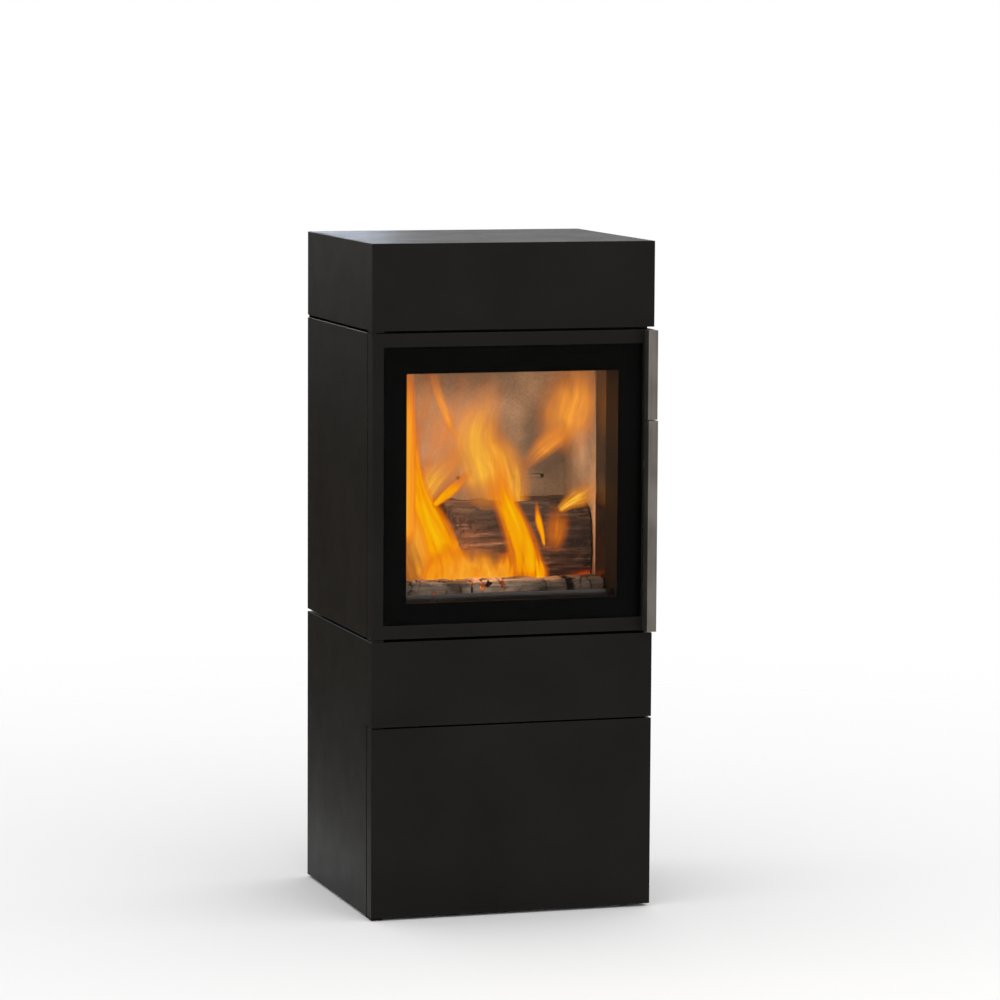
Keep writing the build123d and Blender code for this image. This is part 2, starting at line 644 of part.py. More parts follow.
def lever_filler():
    """Fixed hollow block that completes the door's corner and guides the lever's rods."""
    filler = block(NOTCH_EDGE + 0.5, SIDE, FRONT, FRAME_FRONT, LEVER_LOW, LEVER_HIGH)
    filler -= block(NOTCH_EDGE + 2.5, INNER, FRONT + 3, FRAME_FRONT + 1, LEVER_LOW + 2, LEVER_HIGH - 2)
    for z in ROD_HEIGHTS:
        filler -= along_y(ROD_X, z, FRONT - 1, FRONT + 4, ROD_RADIUS + RUNNING)
    return filler


def air_lever():
    return folded_bar(LEVER_REACH, LEVER_LOW, LEVER_HIGH)


def air_lever_rods():
    """Two rods from the lever back to the slide, shouldered behind the slide's tab."""
    rods = []
    for z in ROD_HEIGHTS:
        rod = along_y(ROD_X, z, FRONT - LEVER_REACH + BAR_WALL, SLIDE_FRONT + 6, ROD_RADIUS)
        rods.append(rod + along_y(ROD_X, z, SLIDE_FRONT, SLIDE_FRONT + 4, 4.5))
    return rods


def air_slide_plate():
    """Slotted plate over the air slots in the firebox wall, with a tab for the rods."""
    plate = block(SLIDE_LEFT, SLIDE_RIGHT, SLIDE_FRONT - 2, SLIDE_BACK, SLIDE_LOW, SLIDE_HIGH)
    plate += block(SLIDE_RIGHT, INNER - 2, SLIDE_FRONT - 2, SLIDE_FRONT, SLIDE_LOW + 5, SLIDE_HIGH - 5)
    for y in AIR_SLOTS_Y:
        plate -= block(SLIDE_LEFT - 1, SLIDE_RIGHT + 1, y + 10, y + 10 + AIR_SLOT, 805, 860)
    for z in ROD_HEIGHTS:
        plate -= along_y(ROD_X, z, SLIDE_FRONT - 3, SLIDE_FRONT + 1, ROD_RADIUS)
    return plate


def air_slide_rails():
    """Folded guides above and below the slide plate."""
    rails = []
    for low, lip_low, lip_high in (
        (SLIDE_LOW - 5.3, SLIDE_LOW - 0.3, SLIDE_LOW + 3),
        (SLIDE_HIGH + 0.3, SLIDE_HIGH - 3, SLIDE_HIGH + 0.3),
    ):
        rail = block(BOX_SIDE, SLIDE_RIGHT + 2.3, -120, 0, low, low + 5)
        rails.append(rail + block(SLIDE_RIGHT + 0.3, SLIDE_RIGHT + 2.3, -120, 0, lip_low, lip_high))
    return rails


# ---------------------------------------------------------------- firewood
def split_log(points, x0, x1):
    """A straight log with a split, many-sided section given as (y, z) points."""
    outline = make_face(Polyline([Vector(x0, y, z) for y, z in points], close=True))
    return extrude(outline, x1 - x0, dir=(1, 0, 0))


def log_front():
    section = [(-122, 470), (-74, 470), (-66, 490), (-78, 510), (-104, 514), (-124, 498)]
    return split_log(section, -168, 170)


def log_back():
    section = [(-38, 470), (58, 470), (74, 520), (64, 586), (32, 622), (-12, 626), (-44, 588), (-54, 520)]
    return split_log(section, -64, 172)


def main():
    os.makedirs("parts", exist_ok=True)
    nodes = {
        "lower_casing": lower_casing(),
        "base_plate": base_plate(),
        "levelling_feet": levelling_feet(),
        "lower_back_panel": lower_back_panel(),
        "lower_top_plate": lower_top_plate(),
        "storage_door_shell": storage_door_shell(),
        "storage_door_liner": storage_door_liner(),
        "storage_hinge_blocks": storage_hinge_blocks(),
        "storage_hinge_lugs": storage_hinge_lugs(),
        "storage_hinge_pins": storage_hinge_pins(),
        "push_latch_housing": push_latch_housing(),
        "push_latch_plunger": push_latch_plunger(),
        "storage_strike_plate": storage_strike_plate(),
        "side_panel_left": side_panel(-1),
        "side_panel_right": side_panel(1),
        "front_frame": front_frame(),
        "back_panel": back_panel(),
        "back_panel_screws": back_panel_screws(),
        "rear_heat_shield": rear_heat_shield(),
        "top_casing": top_casing(),
        "top_plate": top_plate(),
        "top_supports": top_supports(),
        "firebox_body": firebox_body(),
        "flue_collar": flue_collar(),
        "flue_blanking_plate": flue_blanking_plate(),
        "blanking_plate_screws": blanking_plate_screws(),
        "floor_brick_left": floor_brick(-1),
        "floor_brick_right": floor_brick(1),
        "floor_brick_back": floor_brick_back(),
        "ash_pan": ash_pan(),
        "grate": grate(),
        "log_retainer": log_retainer(),
        "rear_lining": rear_lining(),
        "side_lining_left": side_lining(-1),
        "side_lining_right": side_lining(1),
        "side_cheeks": side_cheeks(),
        "baffle_board": baffle_board(),
        "smoke_shelf": smoke_shelf(),
        "airwash_deflector": airwash_deflector(),
        "door_frame": door_frame(),
        "door_inner_frame": door_inner_frame(),
        "door_gasket": door_gasket(),
        "door_glass": door_glass(),
        "glass_print": glass_print(),
        "glass_tape": glass_tape(),
        "door_hinge_lugs": door_hinge_lugs(),
        "door_hinge_pins": door_hinge_pins(),
        "door_handle": door_handle(),
        "handle_shaft": handle_shaft(),
        "shaft_bearings": shaft_bearings(),
        "latch_hooks": latch_hooks(),
        "latch_keepers": latch_keepers(),
        "lever_filler": lever_filler(),
        "air_lever": air_lever(),
        "air_lever_rods": air_lever_rods(),
        "air_slide_plate": air_slide_plate(),
        "air_slide_rails": air_slide_rails(),
        "log_front": log_front(),
        "log_back": log_back(),
    }
    for name, shape in nodes.items():
        write(name, shape)


main()
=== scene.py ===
"""The looks of a free-standing wood burning stove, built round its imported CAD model.

Lengths are metres in the frame of the part: +Z up, the door faces -Y, the flue leaves at +Y.
"""

import math
import random

import bmesh
import bpy
from mathutils import Matrix, Vector, noise

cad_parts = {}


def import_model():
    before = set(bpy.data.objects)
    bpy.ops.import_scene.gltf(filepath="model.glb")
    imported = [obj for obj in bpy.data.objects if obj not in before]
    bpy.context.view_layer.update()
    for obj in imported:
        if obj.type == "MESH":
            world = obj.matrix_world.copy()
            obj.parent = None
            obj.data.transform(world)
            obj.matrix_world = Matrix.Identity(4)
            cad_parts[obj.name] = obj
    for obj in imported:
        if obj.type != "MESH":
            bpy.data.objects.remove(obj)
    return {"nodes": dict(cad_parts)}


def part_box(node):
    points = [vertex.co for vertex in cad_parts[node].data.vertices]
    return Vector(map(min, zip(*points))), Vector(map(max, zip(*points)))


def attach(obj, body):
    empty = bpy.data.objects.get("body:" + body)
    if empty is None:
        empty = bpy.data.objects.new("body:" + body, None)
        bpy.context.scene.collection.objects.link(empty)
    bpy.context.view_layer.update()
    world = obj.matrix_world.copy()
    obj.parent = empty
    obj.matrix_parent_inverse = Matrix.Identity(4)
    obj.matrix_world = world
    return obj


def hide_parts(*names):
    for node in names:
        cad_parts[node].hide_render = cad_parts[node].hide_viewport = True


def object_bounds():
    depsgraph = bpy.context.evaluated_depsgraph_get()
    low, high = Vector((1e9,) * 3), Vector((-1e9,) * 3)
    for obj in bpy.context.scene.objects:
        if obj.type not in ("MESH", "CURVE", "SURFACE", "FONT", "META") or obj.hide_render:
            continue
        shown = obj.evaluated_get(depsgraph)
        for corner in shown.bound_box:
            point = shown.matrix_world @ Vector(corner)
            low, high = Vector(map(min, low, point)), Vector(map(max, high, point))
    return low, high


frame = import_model()
CAD_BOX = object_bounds()
NODES = frame["nodes"]
MM = 0.001
# noise_vector's offsets are drawn anew in every run unless they are seeded
noise.seed_set(4)
# points closer than this are one point of a CAD mesh
WELD_DISTANCE = 0.00001
# agreement of the softened and the plain normal, on a sharp edge and on a face
EDGE_BEND = 0.80
FACE_BEND = 0.985

# ---------------------------------------------------------------- places, read from the frame
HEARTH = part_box("grate")[1].z
CHAMBER_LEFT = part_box("side_lining_left")[1].x
CHAMBER_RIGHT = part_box("side_lining_right")[0].x
CHAMBER_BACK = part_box("rear_lining")[0].y
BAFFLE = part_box("baffle_board")[0].z
MIDDLE = (CHAMBER_LEFT + CHAMBER_RIGHT) / 2
FRONT_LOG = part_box("log_front")
BACK_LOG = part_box("log_back")


# ---------------------------------------------------------------- node trees in short calls
class Tree:
    """A material's node tree. Lengths in it are metres of the object's own coordinates."""

    def __init__(self, name):
        self.material = bpy.data.materials.new(name)
        self.material.use_nodes = True
        self.nodes = self.material.node_tree.nodes
        self.links = self.material.node_tree.links
        self.nodes.clear()
        self.out = self.nodes.new("ShaderNodeOutputMaterial")

    def add(self, kind, inputs=None, **settings):
        """A new node with its settings made and its inputs fed."""
        node = self.nodes.new(kind)
        for key, value in settings.items():
            setattr(node, key, value)
        for key, value in (inputs or {}).items():
            self.feed(node.inputs[key], value)
        return node

    def feed(self, socket, value):
        """Links an output to a socket, or sets the socket to a value."""
        if isinstance(value, bpy.types.NodeSocket):
            self.links.new(value, socket)
        elif socket.type == "RGBA":
            socket.default_value = (*value, 1.0)
        else:
            socket.default_value = value

    def place(self, stretch=(1.0, 1.0, 1.0)):
        """Object coordinates, multiplied along each axis."""
        spot = self.add("ShaderNodeTexCoord").outputs["Object"]
        return self.add("ShaderNodeMapping", {"Vector": spot, "Scale": stretch}).outputs[0]

    def noise(self, scale, detail=3.0, rough=0.5, stretch=(1.0, 1.0, 1.0), vector=None):
        """Cloudy grey between 0 and 1, so many blobs to the metre."""
        spot = vector if vector is not None else self.place(stretch)
        inputs = {"Vector": spot, "Scale": scale, "Detail": detail, "Roughness": rough}
        return self.add("ShaderNodeTexNoise", inputs).outputs["Fac"]

    def cells(self, scale, output="Distance"):
        """Voronoi cells, so many to the metre."""
        inputs = {"Vector": self.place(), "Scale": scale}
        return self.add("ShaderNodeTexVoronoi", inputs, feature="F1").outputs[output]

    def ramp(self, value, *stops):
        """A value turned into a colour or grey through (position, shade) stops."""
        node = self.add("ShaderNodeValToRGB", {"Fac": value})
        points = node.color_ramp.elements
        while len(points) < len(stops):
            points.new(0.5)
        for point, (position, shade) in zip(points, stops):
            point.position = position
            point.color = (*shade, 1.0) if hasattr(shade, "__len__") else (shade, shade, shade, 1.0)
        return node.outputs["Color"]

    def mix(self, factor, first, second):
        """One colour or grey blended into another."""
        node = self.add("ShaderNodeMix", data_type="RGBA", blend_type="MIX")
        for index, value in ((0, factor), (6, first), (7, second)):
            self.feed(node.inputs[index], value)
        return node.outputs[2]

    def maths(self, operation, *values, use_clamp=False):
        """One arithmetic step on one or two values."""
        node = self.add("ShaderNodeMath", operation=operation, use_clamp=use_clamp)
        for index, value in enumerate(values):
            self.feed(node.inputs[index], value)
        return node.outputs[0]

    def bump(self, height, depth, below=None):
        """A normal bent by a grey height, of the stated depth in metres."""
        inputs = {"Height": height, "Distance": depth}
        if below is not None:
            inputs["Normal"] = below
        return self.add("ShaderNodeBump", inputs).outputs["Normal"]

    def edges(self, width):
        """1 along the sharp edges of the mesh and 0 on its faces."""
        soft = self.add("ShaderNodeBevel", {"Radius": width}, samples=4).outputs[0]
        flat = self.add("ShaderNodeNewGeometry").outputs["Normal"]
        agree = self.add("ShaderNodeVectorMath", {0: soft, 1: flat}, operation="DOT_PRODUCT")
        return self.ramp(agree.outputs["Value"], (EDGE_BEND, 1.0), (FACE_BEND, 0.0))

    def shader(self, **inputs):
        """The Principled shader, its inputs named in lower case."""
        node = self.add("ShaderNodeBsdfPrincipled")
        for key, value in inputs.items():
            self.feed(node.inputs[SHADER_INPUTS[key]], value)
        self.links.new(node.outputs[0], self.out.inputs["Surface"])


SHADER_INPUTS = {
    "colour": "Base Color",
    "metallic": "Metallic",
    "roughness": "Roughness",
    "normal": "Normal",
    "specular": "Specular IOR Level",
    "glow": "Emission Color",
    "glow_strength": "Emission Strength",
    "sheen": "Sheen Weight",
}


# ---------------------------------------------------------------- finishes of the CAD nodes
def stove_paint(name, colour, rubbed, roughness, specular):
    """Matt high-temperature paint: fine grain, faint clouds, edges rubbed lighter."""
    t = Tree(name)
    clouds = t.noise(7.0, 4.0)
    grain = t.noise(1500.0, 2.0)
    speckle = t.cells(900.0)
    deep = tuple(0.82 * c for c in colour)
    light = tuple(1.22 * c for c in colour)
    base = t.ramp(clouds, (0.3, deep), (0.7, light))
    base = t.mix(t.ramp(grain, (0.40, 0.0), (0.75, 0.35)), base, tuple(1.9 * c for c in colour))
    worn = t.maths("MULTIPLY", t.edges(0.9 * MM), t.ramp(t.noise(60.0, 4.0), (0.35, 0.05), (0.7, 0.8)))
    base = t.mix(worn, base, rubbed)
    rough = t.ramp(t.noise(18.0, 5.0, 0.6), (0.3, roughness - 0.03), (0.7, roughness + 0.03))
    normal = t.bump(speckle, 0.00006, t.bump(grain, 0.00010))
    t.shader(colour=base, roughness=rough, specular=specular, normal=normal)
    return t.material


def brushed_steel(name, colour, roughness):
    """Satin steel brushed upwards, with broad soft streaks and a highlight painted along its sharp edges.
    """
    t = Tree(name)
    fine = t.noise(1.0, 3.0, 0.6, (2600.0, 2600.0, 22.0))
    broad = t.noise(1.0, 3.0, 0.55, (260.0, 260.0, 6.0))
    patch = t.noise(16.0, 3.0, 0.5, (1.0, 1.0, 0.7))
    base = t.ramp(fine, (0.25, tuple(0.62 * c for c in colour)), (0.78, tuple(1.35 * c for c in colour)))
    base = t.mix(t.ramp(broad, (0.35, 0.55), (0.62, 0.0)), base, tuple(0.5 * c for c in colour))
    base = t.mix(t.ramp(patch, (0.40, 0.0), (0.66, 0.5)), base, tuple(1.7 * c for c in colour))
    # painted highlight: the colour is lightened along the sharp edges to stand in for the glint on the
    # rounded rims
    base = t.mix(t.edges(0.9 * MM), base, tuple(min(1.0, 3.4 * c) for c in colour))
    rough = t.ramp(fine, (0.2, roughness - 0.08), (0.8, roughness + 0.12))
    t.shader(colour=base, metallic=0.82, roughness=rough, specular=0.4, normal=t.bump(fine, 0.00006))
    return t.material


def plain_steel(name, colour, roughness, metallic=1.0, stained=0.0):
    """Bare or plated steel with clouded plating, small scratches and dulled patches."""
    t = Tree(name)
    clouds = t.noise(30.0, 5.0, 0.6)
    scratch = t.noise(1.0, 2.0, 0.5, (90.0, 1400.0, 1400.0))
    base = t.ramp(clouds, (0.3, tuple(0.7 * c for c in colour)), (0.7, tuple(1.1 * c for c in colour)))
    base = t.mix(t.ramp(scratch, (0.62, 0.0), (0.72, 0.5)), base, tuple(min(1.0, 1.5 * c) for c in colour))
    base = t.mix(t.ramp(t.noise(45.0, 6.0, 0.7), (0.5, 0.0), (0.68, stained)), base, (0.05, 0.032, 0.02))
    base = t.mix(t.edges(0.6 * MM), base, tuple(min(1.0, 1.6 * c) for c in colour))
    rough = t.ramp(t.noise(70.0, 5.0), (0.3, roughness - 0.08), (0.7, roughness + 0.14))
    normal = t.bump(scratch, 0.00004, t.bump(t.noise(420.0, 3.0), 0.00008))
    t.shader(colour=base, metallic=metallic, roughness=rough, normal=normal)
    return t.material


def cheek_steel(name):
    """Smooth blackened steel that mirrors the fire dimly, with vertical rolling marks and soot."""
    t = Tree(name)
    rolled = t.noise(1.0, 3.0, 0.6, (170.0, 170.0, 3.0))
    soot = t.noise(14.0, 5.0, 0.65, (1.0, 1.0, 0.45))
    base = t.ramp(soot, (0.35, (0.008, 0.006, 0.005)), (0.7, (0.034, 0.023, 0.017)))
    rough = t.ramp(soot, (0.3, 0.13), (0.75, 0.30))
    t.shader(colour=base, roughness=rough, specular=0.75, normal=t.bump(rolled, 0.00022))
    return t.material


def cast_iron(name):
    """Sand-cast iron: pebbled skin, ash in the hollows, brown heat bloom."""
    t = Tree(name)
    sand = t.noise(900.0, 4.0, 0.6)
    pits = t.cells(380.0)
    bloom = t.noise(22.0, 5.0, 0.6)
    base = t.ramp(bloom, (0.35, (0.020, 0.018, 0.016)), (0.7, (0.075, 0.050, 0.036)))
    base = t.mix(t.ramp(t.noise(55.0, 5.0, 0.7), (0.5, 0.0), (0.72, 0.7)), base, (0.30, 0.28, 0.25))
    normal = t.bump(pits, 0.00025, t.bump(sand, 0.0003))
    t.shader(colour=base, metallic=0.35, roughness=t.ramp(bloom, (0.3, 0.55), (0.7, 0.78)), normal=normal)
    return t.material


def fire_board(name, clean, sooty, soot_amount):
    """Pressed vermiculite board: mica flecks, pin holes, soot in clouds and chipped edges."""
    t = Tree(name)
    flecks = t.cells(420.0, output="Color")
    fleck = t.ramp(flecks, (0.2, 0.0), (0.9, 1.0))
    pores = t.cells(260.0)
    clouds = t.noise(7.0, 4.0, 0.5)
    wisps = t.noise(9.0, 5.0, 0.6, (1.0, 1.0, 0.4))
    base = t.mix(fleck, tuple(0.88 * c for c in clean), tuple(min(1.0, 1.10 * c) for c in clean))
    base = t.mix(t.ramp(pores, (0.03, 0.55), (0.12, 0.0)), base, tuple(0.4 * c for c in clean))
    dirt = t.maths("MULTIPLY", t.ramp(clouds, (0.42, 0.0), (0.60, 1.0)), soot_amount)
    base = t.mix(dirt, base, sooty)
    base = t.mix(t.ramp(wisps, (0.52, 0.0), (0.72, 0.35)), base, tuple(1.2 * c for c in clean))
    base = t.mix(t.edges(1.5 * MM), base, tuple(min(1.0, 1.25 * c) for c in clean))
    normal = t.bump(pores, 0.0004, t.bump(t.noise(700.0, 4.0), 0.0005))
    t.shader(colour=base, roughness=t.ramp(fleck, (0.0, 0.95), (1.0, 0.72)), specular=0.25, normal=normal)
    return t.material


def fire_brick(name):
    """Chamotte brick: sandy, grogged and dusted with ash."""
    t = Tree(name)
    grog = t.cells(170.0, output="Color")
    sand = t.noise(900.0, 4.0, 0.65)
    base = t.mix(t.ramp(grog, (0.1, 0.0), (0.9, 1.0)), (0.20, 0.14, 0.095), (0.33, 0.25, 0.18))
    base = t.mix(t.ramp(t.noise(28.0, 6.0, 0.7), (0.46, 0.0), (0.66, 0.7)), base, (0.20, 0.19, 0.175))
    base = t.mix(t.ramp(t.noise(38.0, 5.0, 0.7), (0.58, 0.0), (0.70, 0.8)), base, (0.03, 0.027, 0.024))
    normal = t.bump(sand, 0.0006, t.bump(t.cells(170.0), 0.0004))
    t.shader(colour=base, roughness=0.93, specular=0.2, normal=normal)
    return t.material


def enamel(name):
    """Black ceramic print on the back of the glass, with the faintest orange-peel."""
    t = Tree(name)
    base = t.ramp(t.noise(240.0, 3.0), (0.3, (0.0012, 0.0012, 0.0013)), (0.7, (0.0024, 0.0023, 0.0022)))
    t.shader(colour=base, roughness=t.ramp(t.noise(9.0, 3.0), (0.3, 0.30), (0.7, 0.42)), specular=0.02,
             normal=t.bump(t.noise(1100.0, 2.0), 0.00004))
    return t.material


def ceramic_glass(name):
    """Fire-proof glass: clear, a trace of warm tint, a soot haze near its edges, a soft sheen."""
    t = Tree(name)
    haze = t.ramp(t.noise(6.0, 5.0, 0.6), (0.45, (0.985, 0.98, 0.97)), (0.8, (0.955, 0.94, 0.915)))
    clear = t.add("ShaderNodeBsdfTransparent", {"Color": haze}).outputs[0]
    wavy = t.bump(t.noise(26.0, 2.0), 0.00010)
    rough = t.ramp(t.noise(40.0, 4.0), (0.3, 0.03), (0.75, 0.09))
    gloss = t.add("ShaderNodeBsdfGlossy", {"Roughness": rough, "Normal": wavy}).outputs[0]
    edge = t.add("ShaderNodeLayerWeight", {"Blend": 0.22}).outputs["Fresnel"]
    share = t.ramp(edge, (0.0, 0.0008), (0.5, 0.02), (1.0, 0.6))
    both = t.add("ShaderNodeMixShader", {0: share, 1: clear, 2: gloss}).outputs[0]
    t.links.new(both, t.out.inputs["Surface"])
    return t.material


def braided_fibre(name, colour):
    """Twisted and braided glass-fibre yarn."""
    t = Tree(name)
    yarn = t.noise(1.0, 3.0, 0.6, (1300.0, 1300.0, 1300.0))
    base = t.ramp(yarn, (0.25, tuple(0.35 * c for c in colour)), (0.75, tuple(1.25 * c for c in colour)))
    base = t.mix(t.ramp(t.noise(24.0, 4.0), (0.5, 0.0), (0.75, 0.6)), base, tuple(0.3 * c for c in colour))
    t.shader(colour=base, roughness=0.9, sheen=0.3, specular=0.2, normal=t.bump(yarn, 0.0005))
    return t.material


def moulded_plastic(name):
    """Spark-eroded black plastic."""
    t = Tree(name)
    spark = t.noise(1800.0, 3.0)
    base = t.ramp(t.noise(40.0, 3.0), (0.3, (0.016, 0.016, 0.017)), (0.7, (0.028, 0.028, 0.030)))
    t.shader(colour=base, roughness=t.ramp(spark, (0.3, 0.42), (0.7, 0.58)), normal=t.bump(spark, 0.00012))
    return t.material


BLACK = (0.0090, 0.0084, 0.0078)
FINISHES = {
    "casing_paint": stove_paint("casing_paint", BLACK, (0.045, 0.041, 0.038), 0.38, 0.05),
    "door_paint": stove_paint("door_paint", BLACK, (0.050, 0.047, 0.044), 0.40, 0.05),
    "firebox_paint": stove_paint("firebox_paint", (0.012, 0.011, 0.010), (0.07, 0.06, 0.05), 0.60, 0.15),
    "handle_steel": brushed_steel("handle_steel", (0.142, 0.128, 0.113), 0.40),
    "bare_steel": plain_steel("bare_steel", (0.36, 0.35, 0.34), 0.36, stained=0.45),
    "zinc_steel": plain_steel("zinc_steel", (0.50, 0.51, 0.53), 0.34),
    "pan_steel": plain_steel("pan_steel", (0.15, 0.145, 0.14), 0.50, metallic=0.85, stained=0.8),
    "cheek_steel": cheek_steel("cheek_steel"),
    "cast_iron": cast_iron("cast_iron"),
    "board": fire_board("board", (0.46, 0.33, 0.225), (0.13, 0.10, 0.08), 0.75),
    "brick": fire_brick("brick"),
    "enamel": enamel("enamel"),
    "glass": ceramic_glass("glass"),
    "rope": braided_fibre("rope", (0.115, 0.105, 0.095)),
    "plastic": moulded_plastic("plastic"),
}
DRESSED = {
    "casing_paint": "lower_casing lower_back_panel side_panel_left side_panel_right back_panel "
    "top_casing top_plate top_supports base_plate lower_top_plate lever_filler "
    "flue_blanking_plate storage_hinge_lugs",
    "door_paint": "door_frame storage_door_shell storage_door_liner storage_hinge_blocks",
    "firebox_paint": "front_frame firebox_body flue_collar rear_heat_shield door_inner_frame "
    "airwash_deflector smoke_shelf door_hinge_lugs air_slide_plate",
    "handle_steel": "door_handle air_lever",
    "bare_steel": "handle_shaft latch_hooks latch_keepers door_hinge_pins storage_hinge_pins "
    "air_lever_rods storage_strike_plate",
    "pan_steel": "ash_pan",
    "zinc_steel": "levelling_feet back_panel_screws blanking_plate_screws shaft_bearings air_slide_rails",
    "cheek_steel": "side_cheeks log_retainer",
    "cast_iron": "grate",
    "board": "rear_lining side_lining_left side_lining_right baffle_board",
    "brick": "floor_brick_left floor_brick_right floor_brick_back",
    "enamel": "glass_print",
    "glass": "door_glass",
    "rope": "door_gasket glass_tape",
    "plastic": "push_latch_housing push_latch_plunger",
}
# widths of the rounded edges in mm
BEVELS = {
    "casing_paint": 0.9,
    "door_paint": 0.7,
    "firebox_paint": 0.4,
    "handle_steel": 0.6,
    "bare_steel": 0.3,
    "pan_steel": 0.3,
    "cheek_steel": 0.4,
    "cast_iron": 0.6,
    "board": 0.7,
    "brick": 1.0,
}


def dress(node, finish):
    """Gives a CAD node its finish, and rounds its sharp edges a little."""
    piece = NODES[node]
    piece.data.materials.clear()
    piece.data.materials.append(FINISHES[finish])
    if finish not in BEVELS:
        return
    weld = piece.modifiers.new("weld", "WELD")
    weld.merge_threshold = WELD_DISTANCE
    bevel = piece.modifiers.new("bevel", "BEVEL")
    bevel.width = BEVELS[finish] * MM
    bevel.segments = 2
    bevel.limit_method = "ANGLE"
    bevel.angle_limit = math.radians(40)
    bevel.use_clamp_overlap = True
    piece.modifiers.new("normals", "WEIGHTED_NORMAL")


for finish, names in DRESSED.items():
    for node in names.split():
        dress(node, finish)


# ---------------------------------------------------------------- mesh helpers
def mesh_piece(name, points, faces, material, smooth=True):
    """A new object made of the points and faces, in the scene."""
    mesh = bpy.data.meshes.new(name)
    mesh.from_pydata(points, [], faces)
    mesh.validate()
    mesh.materials.append(material)
    if smooth:
        mesh.shade_smooth()
    else:
        mesh.shade_flat()
    piece = bpy.data.objects.new(name, mesh)
    bpy.context.scene.collection.objects.link(piece)
    return piece


def grid_faces(rows, columns, closed):
    """Quads over a grid of points, closed round each row or open."""
    faces = []
    for i in range(rows - 1):
        for j in range(columns if closed else columns - 1):
            k = (j + 1) % columns
            faces.append((i * columns + j, i * columns + k, (i + 1) * columns + k, (i + 1) * columns + j))
    return faces


def store(piece, name, values):
    """Keeps one number per point of a mesh for its material to read."""
    layer = piece.data.attributes.new(name, "FLOAT", "POINT")
    layer.data.foreach_set("value", values)


# ---------------------------------------------------------------- door rope and screw heads
def door_rope():
    """Twisted glass-fibre rope pressed into the door's groove, where the plain CAD ring is."""
    low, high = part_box("door_gasket")
    centre = (low + high) / 2
    inner = min(abs(v.co.x - centre.x) for v in NODES["door_gasket"].data.vertices)
    width = high.x - centre.x - inner
    reach = Vector((high.x - centre.x - width / 2, 0, high.z - centre.z - width / 2))
    corner = 0.75 * width
    bend_run = 0.5 * math.pi * corner
    runs = (2 * (reach.z - corner), bend_run, 2 * (reach.x - corner), bend_run)
    length = 2 * sum(runs)
    rings = 1300
    columns = 20
    strands = 3
    twists = round(length / (2.2 * width))
    points = []
    for i in range(rings):
        along = length * i / rings
        side = 0
        while along > runs[side % 4]:
            along -= runs[side % 4]
            side += 1
        # each side and the corner after it are laid out as the right edge, then turned into place
        quarter = side // 2
        across, up = (reach.x, reach.z) if quarter % 2 == 0 else (reach.z, reach.x)
        if side % 2 == 0:
            bend = 0.0
            spot = Vector((across, 0, -up + corner + along))
        else:
            bend = along / corner
            x = across - corner + corner * math.cos(bend)
            z = up - corner + corner * math.sin(bend)
            spot = Vector((x, 0, z))
        out = Vector((math.cos(bend), 0, math.sin(bend)))
        spin = Matrix.Rotation(-0.5 * math.pi * quarter, 3, "Y")
        spot = spin @ spot
        out = spin @ out
        for j in range(columns):
            a = 2 * math.pi * j / columns
            lay = abs(math.sin(0.5 * strands * a + math.pi * twists * i / rings * strands))
            swell = 0.84 + 0.16 * lay
            y = 0.5 * (high.y - low.y) * math.sin(a) * swell
            points.append(centre + spot + out * (0.5 * width * math.cos(a) * swell) + Vector((0, y, 0)))
    faces = grid_faces(rings, columns, True)
    last = (rings - 1) * columns
    faces += [(last + j, last + (j + 1) % columns, (j + 1) % columns, j) for j in range(columns)]
    rope = mesh_piece("door_rope", points, faces, FINISHES["rope"])
    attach(rope, "fire_door")
    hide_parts("door_gasket")


def screw_head(shape, seat, radius, height):
    """Adds one pan head facing +Y with a six-sided socket, its underside at seat."""
    sides = 48
    profile = ((1.0, 0.0), (1.0, 0.35), (0.93, 0.72), (0.76, 0.93), (0.52, 1.0))
    rings = [[(r, h, 0.0)] * sides for r, h in profile]
    rings += [[(0.44, h, 1.0)] * sides for h in (0.98, 0.45)]
    made = []
    for ring in rings:
        row = []
        for k, (r, h, hexagonal) in enumerate(ring):
            a = 2 * math.pi * k / sides
            flat = math.cos(math.pi / 6) / math.cos((a % (math.pi / 3)) - math.pi / 6)
            r *= radius * (1.0 + hexagonal * (flat - 1.0))
            row.append(shape.verts.new(seat + Vector((r * math.cos(a), h * height, r * math.sin(a)))))
        made.append(row)
    for lower, upper in zip(made, made[1:]):
        for k in range(sides):
            shape.faces.new((lower[k], upper[k], upper[(k + 1) % sides], lower[(k + 1) % sides]))
    shape.faces.new(made[-1][::-1])
    shape.faces.new(made[0])


def loose_boxes(mesh):
    """The lowest and highest corner of each loose solid in a mesh."""
    shape = bmesh.new()
    shape.from_mesh(mesh)
    bmesh.ops.remove_doubles(shape, verts=shape.verts, dist=WELD_DISTANCE)
    seen, boxes = set(), []
    for start in shape.verts:
        if start in seen:
            continue
        seen.add(start)
        stack, loose = [start], []
        while stack:
            v = stack.pop()
            loose.append(v.co.copy())
            for edge in v.link_edges:
                other = edge.other_vert(v)
                if other not in seen:
                    seen.add(other)
                    stack.append(other)
        boxes.append((Vector(map(min, *loose)), Vector(map(max, *loose))))
    shape.free()
    return boxes


